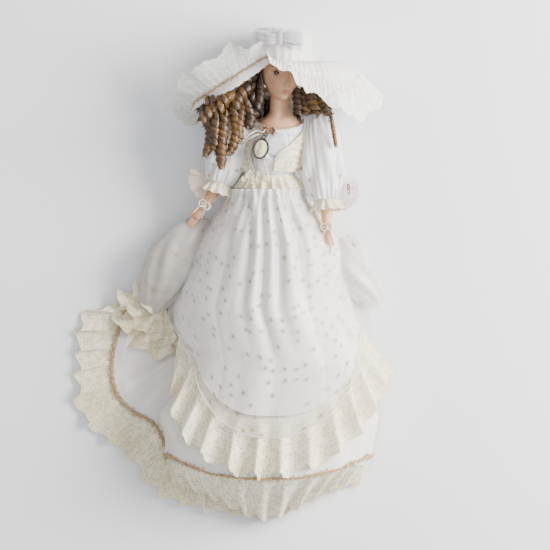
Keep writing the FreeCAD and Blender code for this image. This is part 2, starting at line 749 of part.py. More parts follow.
def brim_point(edge, share, lift):
    """A place on the brim: share runs from the crown to the free edge, lift is
    across the cloth."""
    angle, reach, far_y = edge
    turn = math.radians(angle)
    ring = size("brim_ring")
    near_y = size("crown_mouth_y") + 1.0
    out = reach - ring
    up = far_y - near_y
    slope = math.hypot(out, up)
    radius = ring + out * share - lift * up / slope
    y = near_y + up * share ** BRIM_BEND + lift * out / slope
    return Vector(size("hat_x") + radius * math.cos(turn), y,
                  size("hat_z") + radius * math.sin(turn))


def brim_section(edge, start, end):
    wall = size("brim_wall")
    shares = [start + (end - start) * step / 3 for step in range(4)]
    near = [brim_point(edge, share, 0.0) for share in shares]
    far = [brim_point(edge, share, wall) for share in shares]
    corners = near + list(reversed(far))
    return Part.makePolygon(corners + [corners[0]])


def brim_ring_node(label, start, end):
    sections = [brim_section(edge, start, end) for edge in BRIM_EDGE]
    shape_node(label, Part.makeLoft(sections, True, True))


def make_hat():
    """A soft crown, a wide brim edged with braid and lace, and a tulle bow."""
    crown = turned("crown_shell", (
        ("crown_radius", "0"),
        ("crown_radius", "crown_round_y - crown_mouth_y"),
        ("crown_top_radius", "crown_top_y - crown_mouth_y"),
        ("0", "crown_top_y - crown_mouth_y"),
        ("0", "crown_top_y - crown_mouth_y - crown_wall"),
        ("crown_top_radius - crown_wall", "crown_top_y - crown_mouth_y - crown_wall"),
        ("crown_radius - crown_wall", "crown_round_y - crown_mouth_y"),
        ("crown_radius - crown_wall", "0")))
    crown.Placement = FreeCAD.Placement(
        Vector(size("hat_x"), size("crown_mouth_y"), size("hat_z")),
        FreeCAD.Rotation(Vector(1, 0, 0), -90))
    node(crown, "hat_crown")

    seam = size("brim_seam_gap")
    satin = size("brim_satin_end")
    braid = size("brim_braid_end")
    brim_ring_node("hat_brim", 0.02, satin)
    brim_ring_node("hat_braid", satin + seam, braid)
    brim_ring_node("hat_ruffle", braid + seam, 1.0)

    loops = []
    for side, way in (("left", 1), ("right", -1)):
        loop = make("Part::Cone", "bow_loop_" + side)
        drive(loop, Radius1="bow_loop_pinch", Radius2="bow_loop_depth", Height="bow_loop_length")
        loop.Placement.Rotation = FreeCAD.Rotation(Vector(0, 1, 0), 90 * way)
        put(loop, "bow_x", "bow_y", "bow_z")
        loops.append(loop)
    knot = block("bow_knot", "bow_knot_width", "bow_knot_width", "bow_knot_width")
    put(knot, "bow_x - bow_knot_width / 2", "bow_y - bow_knot_width / 2",
        "bow_z - bow_knot_width / 2")
    node(fused("bow_loops", loops + [knot]), "hat_bow")


# --------------------------------------------------------------------- arms

def make_arm(side):
    """Cloth upper arm on a wire, its sleeve and cuff, and the porcelain forearm."""
    shoulder = point("shoulder_" + side)
    elbow = point("elbow_" + side)
    hand = point("hand_" + side)
    length = (elbow - shoulder).Length
    run = along(shoulder, elbow)

    arm_length = length - size("elbow_clearance") - size("arm_start")
    start = Vector(0, 0, size("arm_start"))
    cloth = Part.makeCylinder(size("arm_radius"), arm_length, start)
    cloth = cloth.makeFillet(3.0, [edge for edge in cloth.Edges if edge.Closed])
    wire_start = size("arm_start") + size("wire_margin")
    wire_length = arm_length - 2 * size("wire_margin")
    bore = Part.makeCylinder(size("wire_bore"), wire_length + 1.0, Vector(0, 0, wire_start - 0.5))
    upper = shape_node("upper_arm_" + side, cloth.cut(bore))
    upper.Placement = run

    wire = make("Part::Cylinder", "wire_" + side)
    drive(wire, Radius="wire_radius")
    wire.Height = wire_length
    wire.Placement = FreeCAD.Placement(run.multVec(Vector(0, 0, wire_start)), run.Rotation)
    node(wire, "arm_wire_" + side)

    make_sleeve(side, shoulder, elbow, length)
    make_cuff(side, run, length)
    make_forearm(side, elbow, hand)


def make_sleeve(side, shoulder, elbow, length):
    """A puffed sleeve with a straight passage for the arm."""
    half_width = size("sleeve_%s_half_width" % side)
    half_length = size("sleeve_%s_half_length" % side)
    puff = Part.makeSphere(1.0)
    stretch = FreeCAD.Matrix()
    stretch.scale(half_width, half_width, half_length)
    puff = puff.transformGeometry(stretch)
    puff.Placement = along(point("sleeve_" + side), point("sleeve_" + side) + elbow - shoulder)
    passage = Part.makeCylinder(size("arm_radius") + size("sleeve_gap"), length * 2,
                                shoulder - (elbow - shoulder) * 0.5, elbow - shoulder)
    shape_node("sleeve_" + side, largest(puff.cut(passage)))


def make_cuff(side, run, length):
    outer = make("Part::Cylinder", "cuff_outer_" + side)
    drive(outer, Radius="cuff_radius", Height="cuff_length")
    inner = make("Part::Cylinder", "cuff_inner_" + side)
    drive(inner, Radius="cuff_bore", Height="cuff_length")
    ring = cut("cuff_ring_" + side, outer, inner)
    base = run.multVec(Vector(0, 0, length - size("cuff_offset")))
    ring.Placement = FreeCAD.Placement(base, run.Rotation)
    node(ring, "sleeve_cuff_" + side)


def make_forearm(side, elbow, hand):
    """One casting from the elbow ball to the fingertips."""
    ball = make("Part::Sphere", "elbow_ball_" + side)
    drive(ball, Radius="elbow_ball")
    taper = make("Part::Cone", "forearm_taper_" + side)
    drive(taper, Radius1="forearm_top_radius", Radius2="wrist_radius", Height="forearm_length")
    palm = ellipsoid("palm_" + side, "palm_half_width", "palm_half_depth", "palm_half_length")
    put(palm, "0", "0", "palm_centre")
    casting = fused("forearm_casting_" + side, [ball, taper, palm])
    casting.Placement = along(elbow, hand)
    node(casting, "forearm_" + side)

    ribbon = make("Part::Torus", "wrist_tie_" + side)
    drive(ribbon, Radius1="wrist_ribbon_bore + wrist_ribbon_wire", Radius2="wrist_ribbon_wire")
    reach = along(elbow, hand)
    ribbon.Placement = FreeCAD.Placement(
        reach.multVec(Vector(0, 0, size("wrist_ribbon_at"))), reach.Rotation)
    node(ribbon, "wrist_ribbon_" + side)


# --------------------------------------------------------------------- legs

def make_leg(side, way):
    """Cloth thigh in its bloomer leg, porcelain shin, and a shoe with its toe up."""
    x = size("leg_x") + way * size("leg_spacing")
    hip = Vector(x, size("thigh_top_y"), size("leg_z"))
    down = FreeCAD.Rotation(Vector(1, 0, 0), 90)

    thigh = make("Part::Cone", "thigh_cone_" + side)
    drive(thigh, Radius1="thigh_top_radius", Radius2="thigh_end_radius", Height="thigh_length")
    thigh.Placement = FreeCAD.Placement(hip, down)
    node(thigh, "thigh_" + side)

    outer = make("Part::Cone", "bloomer_outer_" + side)
    drive(outer, Radius1="thigh_top_radius + bloomer_gap + bloomer_wall",
          Radius2="thigh_top_radius + bloomer_wall", Height="bloomer_length")
    inner = make("Part::Cone", "bloomer_inner_" + side)
    drive(inner, Radius1="thigh_top_radius + bloomer_gap", Radius2="thigh_top_radius",
          Height="bloomer_length")
    leg_cloth = cut("bloomer_shell_" + side, outer, inner)
    leg_cloth.Placement = FreeCAD.Placement(hip - Vector(0, size("bloomer_start"), 0), down)
    node(leg_cloth, "bloomer_" + side)

    calf = turned("calf_" + side, (
        ("0", "0"), ("calf_top_radius", "0"), ("calf_radius", "calf_at"),
        ("ankle_radius", "ankle_at"), ("ankle_radius", "calf_length"), ("0", "calf_length")))
    calf_top = hip - Vector(0, size("thigh_length") + size("calf_gap"), 0)
    calf.Placement = FreeCAD.Placement(calf_top, down)
    node(calf, "lower_leg_" + side)

    make_shoe(side, calf_top - Vector(0, size("calf_length") + size("shoe_gap"), 0))


def make_shoe(side, ankle):
    """A slipper: the sole faces the hem, the toe stands up from the surface."""
    width = size("shoe_width")
    thickness = size("shoe_thickness")
    length = size("shoe_length")
    upper = Part.makeBox(width, thickness, length,
                         Vector(-width / 2, -thickness, -length / 2 + size("heel_depth")))
    upper = upper.makeFillet(size("shoe_round"), upper.Edges)
    shoe = shape_node("shoe_" + side, upper)
    shoe.Placement = FreeCAD.Placement(ankle, FreeCAD.Rotation())


# ------------------------------------------------------------------- output

def check_document():
    """Stop if any object failed or any piece is null or broken."""
    for obj in doc.Objects:
        if "Invalid" in obj.State or "Error" in obj.State:
            raise RuntimeError("failed object: " + obj.Label)
    for obj in NODES:
        if obj.Shape.isNull() or not obj.Shape.isValid() or obj.Shape.Volume <= 0:
            raise RuntimeError("broken shape: " + obj.Label)


def export_nodes():
    os.makedirs("parts", exist_ok=True)
    for obj in NODES:
        obj.Shape.exportStep("parts/%s.step" % obj.Label)
    print("pieces written:", len(NODES))


fill_sheet()
make_head()
make_pate()
make_eyes_and_earrings()
make_wig_cap()
make_ringlets()
make_torso()
make_lapels()
make_bodice_trim()
make_cameo()
make_front_skirts()
make_train()
make_puff("pannier_right")
make_puff("pannier_left")
make_puff("side_ruffle")
make_hat()
for arm_side in ("left", "right"):
    make_arm(arm_side)
make_leg("left", 1)
make_leg("right", -1)
doc.recompute()
check_document()
export_nodes()
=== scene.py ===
import json
import math
import random

import bpy
import numpy as np
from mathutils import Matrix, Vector, noise
from mathutils.bvhtree import BVHTree


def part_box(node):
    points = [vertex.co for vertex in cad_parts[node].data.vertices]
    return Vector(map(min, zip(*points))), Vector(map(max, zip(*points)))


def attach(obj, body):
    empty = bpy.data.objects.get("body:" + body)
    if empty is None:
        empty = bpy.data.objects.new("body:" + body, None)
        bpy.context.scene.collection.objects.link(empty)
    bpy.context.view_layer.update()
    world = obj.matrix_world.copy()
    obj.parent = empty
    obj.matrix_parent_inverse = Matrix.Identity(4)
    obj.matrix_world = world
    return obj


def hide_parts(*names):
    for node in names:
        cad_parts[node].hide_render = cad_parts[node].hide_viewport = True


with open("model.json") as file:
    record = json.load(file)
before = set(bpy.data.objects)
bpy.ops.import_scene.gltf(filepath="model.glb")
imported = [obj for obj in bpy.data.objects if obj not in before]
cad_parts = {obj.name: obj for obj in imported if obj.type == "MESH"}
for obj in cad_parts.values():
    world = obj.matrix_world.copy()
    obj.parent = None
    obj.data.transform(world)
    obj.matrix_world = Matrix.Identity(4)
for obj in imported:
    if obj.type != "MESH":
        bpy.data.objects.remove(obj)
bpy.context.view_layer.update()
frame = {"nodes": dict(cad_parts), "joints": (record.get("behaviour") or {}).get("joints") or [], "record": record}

MM = 0.001
rng = random.Random(7)


# ------------------------------------------------------------------ helpers

def mix(a, b, share):
    return a + (b - a) * share


def ease(x, low, high):
    """Smooth step from 0 at low to 1 at high."""
    t = min(max((x - low) / (high - low), 0.0), 1.0)
    return t * t * (3 - 2 * t)


def wobble(x, y=0.0, seed=0.0):
    return noise.noise(Vector((x, y, seed)))


class Build:
    """Collects vertices, faces and metric UVs, then makes one mesh object."""

    def __init__(self):
        self.verts, self.faces, self.uvs = [], [], []

    def grid(self, point, across, along, size=(0.1, 0.1), wrap=False, offset=(0.0, 0.0)):
        base = len(self.verts)
        columns = across if wrap else across + 1
        for j in range(along + 1):
            for i in range(columns):
                self.verts.append(tuple(point(i / across, j / along)))
        for j in range(along):
            for i in range(across):
                k = (i + 1) % columns
                self.faces.append((base + j * columns + i, base + j * columns + k,
                                   base + (j + 1) * columns + k, base + (j + 1) * columns + i))
                for a, b in ((i, j), (i + 1, j), (i + 1, j + 1), (i, j + 1)):
                    self.uvs.append((offset[0] + size[0] * a / across,
                                     offset[1] + size[1] * b / along))
        return self

    def tube(self, points, radius, sides=6, flat=1.0, caps=True):
        """A tube along points; radius is a number or a function of 0 to 1."""
        points = [Vector(p) for p in points]
        count = len(points)
        base = len(self.verts)
        length = 0.0
        side = None
        for i, p in enumerate(points):
            ahead = points[min(i + 1, count - 1)] - points[max(i - 1, 0)]
            ahead.normalize()
            if side is None:
                side = ahead.orthogonal().normalized()
            side = (side - ahead * side.dot(ahead)).normalized()
            up = ahead.cross(side)
            r = radius(i / (count - 1)) if callable(radius) else radius
            for s in range(sides):
                turn = 2 * math.pi * s / sides
                self.verts.append(tuple(p + side * (r * math.cos(turn))
                                        + up * (r * flat * math.sin(turn))))
        for i in range(count - 1):
            step = (points[i + 1] - points[i]).length
            for s in range(sides):
                t = (s + 1) % sides
                self.faces.append((base + i * sides + s, base + i * sides + t,
                                   base + (i + 1) * sides + t, base + (i + 1) * sides + s))
                for a, b in ((s, 0), (s + 1, 0), (s + 1, 1), (s, 1)):
                    self.uvs.append((0.004 * a / sides, length + b * step))
            length += step
        if caps:
            for ring, order in ((0, -1), (count - 1, 1)):
                loop = [base + ring * sides + s for s in range(sides)][::order]
                self.faces.append(tuple(loop))
                self.uvs.extend([(0.0, 0.0)] * sides)
        return self

    def object(self, name, material):
        mesh = bpy.data.meshes.new(name)
        mesh.from_pydata(self.verts, [], self.faces)
        layer = mesh.uv_layers.new(name="UVMap")
        layer.data.foreach_set("uv", np.array(self.uvs, dtype=np.float32).ravel())
        mesh.materials.append(material)
        mesh.update()
        mesh.polygons.foreach_set("use_smooth", [True] * len(mesh.polygons))
        obj = bpy.data.objects.new(name, mesh)
        bpy.context.scene.collection.objects.link(obj)
        return obj


def spline(points, count):
    """Evenly stepped Catmull-Rom points through the given ones."""
    points = [Vector(p) for p in points]
    padded = [points[0] * 2 - points[1]] + points + [points[-1] * 2 - points[-2]]
    result = []
    for i in range(count):
        place = i / (count - 1) * (len(points) - 1)
        k = min(int(place), len(points) - 2)
        t = place - k
        a, b, c, d = padded[k:k + 4]
        result.append(0.5 * ((2 * b) + (c - a) * t + (2 * a - 5 * b + 4 * c - d) * t * t
                             + (3 * b - a - 3 * c + d) * t ** 3))
    return result


def curve_table(rows, columns):
    """Catmull-Rom through rows keyed by their first value; gives a function."""
    keys = [row[0] for row in rows]

    def value(key):
        key = min(max(key, keys[0]), keys[-1])
        k = 0
        while k < len(keys) - 2 and key > keys[k + 1]:
            k += 1
        t = (key - keys[k]) / (keys[k + 1] - keys[k])
        result = []
        for c in range(1, columns + 1):
            b, d = rows[k][c], rows[k + 1][c]
            a = rows[k - 1][c] if k > 0 else 2 * b - d
            e = rows[k + 2][c] if k + 2 < len(rows) else 2 * d - b
            result.append(0.5 * (2 * b + (d - a) * t + (2 * a - 5 * b + 4 * d - e) * t * t
                                 + (3 * b - a - 3 * d + e) * t ** 3))
        return result

    return value


# ---------------------------------------------------------------- materials

def nodes_of(name):
    material = bpy.data.materials.new(name)
    material.use_nodes = True
    tree = material.node_tree
    return material, tree, tree.nodes["Principled BSDF"]


def add(tree, kind, **values):
    node = tree.nodes.new(kind)
    for key, value in values.items():
        setattr(node, key, value)
    return node


def math_node(tree, operation, first, second=None, third=None):
    node = add(tree, "ShaderNodeMath", operation=operation)
    for index, value in enumerate((first, second, third)):
        if value is None:
            continue
        if isinstance(value, (int, float)):
            node.inputs[index].default_value = value
        else:
            tree.links.new(value, node.inputs[index])
    return node.outputs[0]


def ramp(tree, value, low, high, out_low=0.0, out_high=1.0):
    node = add(tree, "ShaderNodeMapRange", interpolation_type="SMOOTHSTEP")
    tree.links.new(value, node.inputs[0])
    for index, number in ((1, low), (2, high), (3, out_low), (4, out_high)):
        node.inputs[index].default_value = number
    return node.outputs[0]


def blend_colour(tree, share, first, second):
    node = add(tree, "ShaderNodeMix", data_type="RGBA")
    for socket, value in ((node.inputs[0], share), (node.inputs[6], first),
                          (node.inputs[7], second)):
        if isinstance(value, (int, float)):
            socket.default_value = value
        elif isinstance(value, (tuple, list)):
            socket.default_value = (*value, 1.0)
        else:
            tree.links.new(value, socket)
    return node.outputs[2]


def coordinates(tree, kind="UV", scale=1.0, stretch=(1, 1, 1)):
    source = add(tree, "ShaderNodeTexCoord")
    mapping = add(tree, "ShaderNodeMapping")
    mapping.inputs["Scale"].default_value = [scale * s for s in stretch]
    tree.links.new(source.outputs[kind], mapping.inputs["Vector"])
    return mapping.outputs["Vector"]


def noise_of(tree, vector, scale, detail=3.0, rough=0.5):
    node = add(tree, "ShaderNodeTexNoise")
    node.inputs["Scale"].default_value = scale
    node.inputs["Detail"].default_value = detail
    node.inputs["Roughness"].default_value = rough
    tree.links.new(vector, node.inputs["Vector"])
    return node.outputs[0]


def voronoi_of(tree, vector, scale, feature="F1", randomness=1.0):
    node = add(tree, "ShaderNodeTexVoronoi", feature=feature, voronoi_dimensions="2D")
    node.inputs["Scale"].default_value = scale
    node.inputs["Randomness"].default_value = randomness
    tree.links.new(vector, node.inputs["Vector"])
    return node


def bumps(tree, shader, layers):
    """Chain bump nodes: (height socket, strength, distance in metres)."""
    normal = None
    for height, strength, distance in layers:
        node = add(tree, "ShaderNodeBump")
        node.inputs["Strength"].default_value = strength
        node.inputs["Distance"].default_value = distance
        tree.links.new(height, node.inputs["Height"])
        if normal is not None:
            tree.links.new(normal, node.inputs["Normal"])
        normal = node.outputs[0]
    tree.links.new(normal, shader.inputs["Normal"])


def weave(tree, uv, threads):
    """A plain weave height from two crossed fine waves."""
    parts = add(tree, "ShaderNodeSeparateXYZ")
    tree.links.new(uv, parts.inputs[0])
    warp = math_node(tree, "SINE", math_node(tree, "MULTIPLY", parts.outputs[0], threads))
    weft = math_node(tree, "SINE", math_node(tree, "MULTIPLY", parts.outputs[1], threads))
    return math_node(tree, "MULTIPLY", warp, weft)


def satin(name, colour, shade, rough=0.34):
    """Heavy satin: smooth face, soft sheen, faint crumples and fine weave."""
    material, tree, shader = nodes_of(name)
    uv = coordinates(tree)
    place = coordinates(tree, "Object")
    cloud = noise_of(tree, place, 26.0, 4.0)
    tone = blend_colour(tree, ramp(tree, cloud, 0.35, 0.7), shade, colour)
    tree.links.new(tone, shader.inputs["Base Color"])
    tree.links.new(ramp(tree, noise_of(tree, place, 60.0), 0.3, 0.7, rough - 0.05, rough + 0.08),
                   shader.inputs["Roughness"])
    shader.inputs["Sheen Weight"].default_value = 0.15
    shader.inputs["Anisotropic"].default_value = 0.35
    crumple = noise_of(tree, coordinates(tree, "Object", 1.0, (1.6, 0.8, 1.6)), 110.0, 3.0, 0.55)
    bumps(tree, shader, ((crumple, 0.35, 0.0012), (weave(tree, uv, 5200.0), 0.06, 0.0001)))
    return material


def star_mask(tree, uv, cell, reach, keep):
    """Small five-armed stars scattered one to a cell, some cells left empty."""
    cells = voronoi_of(tree, uv, 1.0 / cell, randomness=0.85)
    nearest = add(tree, "ShaderNodeVectorMath", operation="SUBTRACT")
    tree.links.new(uv, nearest.inputs[0])
    tree.links.new(cells.outputs["Position"], nearest.inputs[1])
    parts = add(tree, "ShaderNodeSeparateXYZ")
    tree.links.new(nearest.outputs[0], parts.inputs[0])
    colour = add(tree, "ShaderNodeSeparateColor")
    tree.links.new(cells.outputs["Color"], colour.inputs[0])
    angle = math_node(tree, "ARCTAN2", parts.outputs[1], parts.outputs[0])
    turn = math_node(tree, "MULTIPLY_ADD", angle, 5.0,
                     math_node(tree, "MULTIPLY", colour.outputs[0], 6.283))
    arms = math_node(tree, "MULTIPLY_ADD", math_node(tree, "COSINE", turn), 0.38, 0.62)
    length = add(tree, "ShaderNodeVectorMath", operation="LENGTH")
    tree.links.new(nearest.outputs[0], length.inputs[0])
    edge = math_node(tree, "SUBTRACT", math_node(tree, "MULTIPLY", arms, reach),
                     length.outputs["Value"])
    star = ramp(tree, edge, 0.0, 0.00035)
    chosen = math_node(tree, "GREATER_THAN", colour.outputs[1], 1.0 - keep)
    return math_node(tree, "MULTIPLY", star, chosen)


def organza(name, colour, alpha, star=(0.36, 0.28, 0.17), cell=0.013, reach=0.0030, keep=0.62):
    """Sheer crisp cloth with small woven stars; the stars are less sheer."""
    material, tree, shader = nodes_of(name)
    uv = coordinates(tree)
    place = coordinates(tree, "Object")
    cloud = noise_of(tree, place, 34.0, 3.0)
    mask = star_mask(tree, uv, cell, reach, keep)
    base = blend_colour(tree, cloud, tuple(c * 0.93 for c in colour), colour)
    tree.links.new(blend_colour(tree, mask, base, star), shader.inputs["Base Color"])
    sheer = ramp(tree, noise_of(tree, place, 90.0), 0.3, 0.7, alpha - 0.07, alpha + 0.07)
    lifted = math_node(tree, "MULTIPLY_ADD", mask, 0.85 - alpha, sheer)
    tree.links.new(lifted, shader.inputs["Alpha"])
    shader.inputs["Roughness"].default_value = 0.38
    shader.inputs["Sheen Weight"].default_value = 0.3
    bumps(tree, shader, ((noise_of(tree, place, 150.0, 3.0), 0.3, 0.0008),
                         (weave(tree, uv, 4200.0), 0.15, 0.0001)))
    return material


# How opaque the netting between two threads of lace is.
NET_OPACITY = 0.67


def lace(name, colour, shade, cell=0.0040, hole=0.13):
    """Embroidered cotton lace: rows of eyelets in a cloth ground with raised threads."""
    material, tree, shader = nodes_of(name)
    uv = coordinates(tree)
    eyelets = voronoi_of(tree, uv, 1.0 / cell, randomness=0.35)
    small = voronoi_of(tree, uv, 2.7 / cell, "DISTANCE_TO_EDGE", 0.9)
    motif = noise_of(tree, uv, 0.55 / cell, 2.0)
    openwork = ramp(tree, motif, 0.52, 0.58)
    pierced = ramp(tree, eyelets.outputs["Distance"], hole, hole + 0.07)
    holes = math_node(tree, "MAXIMUM", pierced, ramp(tree, motif, 0.44, 0.50, 1.0, 0.0))
    netting = ramp(tree, small.outputs["Distance"], 0.10, 0.16, 1.0, NET_OPACITY)
    alpha = math_node(tree, "MULTIPLY", holes,
                      math_node(tree, "MAXIMUM", netting,
                                math_node(tree, "SUBTRACT", 1.0, openwork)))
    tree.links.new(math_node(tree, "MAXIMUM", alpha, 0.6), shader.inputs["Alpha"])
    place = coordinates(tree, "Object")
    tone = blend_colour(tree, ramp(tree, noise_of(tree, place, 30.0), 0.3, 0.7), shade, colour)
    # Painted shade: the colour darkens in a ring round each eyelet and over the openwork motif.
    rim = math_node(tree, "MAXIMUM",
                    ramp(tree, eyelets.outputs["Distance"], hole + 0.05, hole + 0.2),
                    ramp(tree, motif, 0.44, 0.52, 1.0, 0.0))
    tree.links.new(blend_colour(tree, rim, tuple(c * 0.86 for c in shade), tone),
                   shader.inputs["Base Color"])
    shader.inputs["Roughness"].default_value = 0.75
    shader.inputs["Sheen Weight"].default_value = 0.25
    raised = math_node(tree, "MULTIPLY_ADD", motif, 0.7, holes)
    bumps(tree, shader, ((raised, 0.5, 0.0006), (weave(tree, uv, 3600.0), 0.2, 0.0002)))
    return material


def plain_cloth(name, colour):
    material, tree, shader = nodes_of(name)
    uv = coordinates(tree, "Object")
    tone = blend_colour(tree, noise_of(tree, uv, 60.0), tuple(c * 0.85 for c in colour), colour)
    tree.links.new(tone, shader.inputs["Base Color"])
    shader.inputs["Roughness"].default_value = 0.8
    shader.inputs["Sheen Weight"].default_value = 0.3
    bumps(tree, shader, ((weave(tree, uv, 3600.0), 0.4, 0.0002),
                         (noise_of(tree, uv, 140.0), 0.3, 0.0006)))
    return material


def braid_cord(name, colour, glint):
    """Twisted braid: tan yarn flecked with a lighter metal thread."""
    material, tree, shader = nodes_of(name)
    place = coordinates(tree, "Object")
    fleck = noise_of(tree, place, 900.0, 2.0)
    tone = blend_colour(tree, ramp(tree, fleck, 0.45, 0.62), colour, glint)
    tree.links.new(tone, shader.inputs["Base Color"])
    shader.inputs["Roughness"].default_value = 0.5
    shader.inputs["Sheen Weight"].default_value = 0.2
    bumps(tree, shader, ((fleck, 0.7, 0.0004),))
    return material


def hair_material(name):
    """Synthetic curls: painted shade keeps the hair dark in the depth near the face, painted light makes the outer
    curls golden.
    """
    material, tree, shader = nodes_of(name)
    uv = coordinates(tree, "UV", 1.0, (900.0, 25.0, 1.0))
    place = coordinates(tree, "Object")
    strand = noise_of(tree, uv, 1.0, 2.0)
    patch = noise_of(tree, place, 34.0, 2.0)
    parts = add(tree, "ShaderNodeSeparateXYZ")
    tree.links.new(place, parts.inputs[0])
    # Painted light and shade by place across the doll: dark in the middle near the face, golden towards both outer
    # sides.
    depth = ramp(tree, parts.outputs[0], -0.002, 0.024, 1.0, 0.0)
    beyond = ramp(tree, parts.outputs[0], 0.056, 0.072)
    lit_outer_sides = math_node(tree, "MAXIMUM", depth, beyond)
    light = math_node(tree, "MULTIPLY", lit_outer_sides, ramp(tree, patch, 0.20, 0.50))
    thread = ramp(tree, strand, 0.38, 0.62)
    # The darker colour is the hair in painted shade, the golden one the hair in painted light.
    dark = blend_colour(tree, thread, (0.014, 0.006, 0.002), (0.080, 0.034, 0.011))
    lit_hair_colour = blend_colour(tree, thread, (0.030, 0.012, 0.003), (0.25, 0.118, 0.026))
    tree.links.new(blend_colour(tree, light, dark, lit_hair_colour), shader.inputs["Base Color"])
    shader.inputs["Roughness"].default_value = 0.26
    shader.inputs["Anisotropic"].default_value = 0.6
    shader.inputs["Specular IOR Level"].default_value = 0.8
    bumps(tree, shader, ((strand, 0.6, 0.0004),))
    return material


def spot(tree, place, centre, reach, soft):
    """1 inside an oval spot in the object's own coordinates, 0 outside."""
    shift = add(tree, "ShaderNodeVectorMath", operation="SUBTRACT")
    tree.links.new(place, shift.inputs[0])
    shift.inputs[1].default_value = centre
    scaled = add(tree, "ShaderNodeVectorMath", operation="DIVIDE")
    tree.links.new(shift.outputs[0], scaled.inputs[0])
    scaled.inputs[1].default_value = reach
    length = add(tree, "ShaderNodeVectorMath", operation="LENGTH")
    tree.links.new(scaled.outputs[0], length.inputs[0])
    return ramp(tree, length.outputs["Value"], 1.0 - soft, 1.0 + soft, 1.0, 0.0)


def bisque(name, marks=()):
    """Matt tinted porcelain with soft mottling; marks are painted spots."""
    material, tree, shader = nodes_of(name)
    place = coordinates(tree, "Object")
    mottle = noise_of(tree, place, 55.0, 3.0)
    tone = blend_colour(tree, ramp(tree, mottle, 0.3, 0.7), (0.60, 0.325, 0.175),
                        (0.70, 0.410, 0.240))
    for centre, reach, soft, colour, strength in marks:
        share = math_node(tree, "MULTIPLY", spot(tree, place, centre, reach, soft), strength)
        tone = blend_colour(tree, share, tone, colour)
    tree.links.new(tone, shader.inputs["Base Color"])
    tree.links.new(ramp(tree, noise_of(tree, place, 300.0), 0.3, 0.7, 0.40, 0.52),
                   shader.inputs["Roughness"])
    shader.inputs["Specular IOR Level"].default_value = 0.4
    bumps(tree, shader, ((noise_of(tree, place, 1600.0, 2.0), 0.08, 0.0001),))
    return material


def glossy(name, colour, deep, rough):
    material, tree, shader = nodes_of(name)
    place = coordinates(tree, "Object")
    scale = 300.0
    tone = blend_colour(tree, noise_of(tree, place, scale), deep, colour)
    tree.links.new(tone, shader.inputs["Base Color"])
    shader.inputs["Roughness"].default_value = rough
    bumps(tree, shader, ((noise_of(tree, place, scale * 3), 0.1, 0.0001),))
    return material


def eye_material(name, centre, front):
    """Brown glass eye: dark pupil, streaked iris, off-white round it."""
    material, tree, shader = nodes_of(name)
    place = coordinates(tree, "Object")
    ahead = (Vector(centre) + Vector(front)).to_tuple()
    white = blend_colour(tree, noise_of(tree, place, 400.0), (0.50, 0.42, 0.34),
                         (0.58, 0.50, 0.42))
    streak = blend_colour(tree, noise_of(tree, place, 2600.0), (0.045, 0.016, 0.006),
                          (0.16, 0.062, 0.020))
    iris = blend_colour(tree, spot(tree, place, ahead, (0.0034,) * 3, 0.06), white, streak)
    pupil = blend_colour(tree, spot(tree, place, ahead, (0.0016,) * 3, 0.08), iris,
                         (0.004, 0.003, 0.002))
    tree.links.new(pupil, shader.inputs["Base Color"])
    shader.inputs["Roughness"].default_value = 0.08
    shader.inputs["Coat Weight"].default_value = 0.6
    return material


SATIN = satin("white_satin", (0.90, 0.865, 0.82), (0.80, 0.745, 0.69), 0.28)
SATIN_BODICE = satin("bodice_satin", (0.80, 0.77, 0.77), (0.72, 0.69, 0.69), 0.42)
SATIN_HAT = satin("hat_satin", (0.80, 0.78, 0.75), (0.72, 0.69, 0.65), 0.4)
SHEER = organza("star_organza", (0.92, 0.87, 0.83), 0.30, star=(0.32, 0.24, 0.13),
                reach=0.0033, keep=0.5)
SHEER_PUFF = organza("puff_organza", (0.88, 0.85, 0.82), 0.60, cell=0.016, keep=0.45)
# A darkened, less sheer copy of the puff organza: painted shade for the puff at the doll's right.
SHEER_SHADED = organza("grey_organza", (0.56, 0.51, 0.46), 0.72, cell=0.017, keep=0.5)
SLEEVE_CLOTH = organza("sleeve_organza", (0.88, 0.86, 0.85), 0.80, cell=0.015, keep=0.4)
LACE = lace("cream_lace", (0.93, 0.87, 0.68), (0.84, 0.74, 0.50))
LACE_FINE = lace("fine_lace", (0.91, 0.84, 0.63), (0.80, 0.70, 0.46), cell=0.0030, hole=0.12)
LACE_HAT = lace("hat_lace", (0.88, 0.87, 0.80), (0.80, 0.78, 0.68), cell=0.0038, hole=0.15)
BRAID = braid_cord("tan_braid", (0.34, 0.20, 0.075), (0.66, 0.48, 0.24))
PIPING = braid_cord("tan_piping", (0.50, 0.36, 0.22), (0.66, 0.52, 0.34))
GOLD = braid_cord("bead_thread", (0.62, 0.56, 0.38), (0.80, 0.72, 0.50))
HAIR = hair_material("curls")
CALICO = plain_cloth("calico", (0.70, 0.64, 0.54))
COTTON = plain_cloth("white_cotton", (0.80, 0.78, 0.74))
# A browner copy of the pink tulle: painted shade for the frill on the right sleeve.
PINK_SHADED = organza("shaded_pink_tulle", (0.80, 0.62, 0.50), 0.7, keep=0.0)
PINK = organza("pink_tulle", (0.84, 0.70, 0.68), 0.62, keep=0.0)
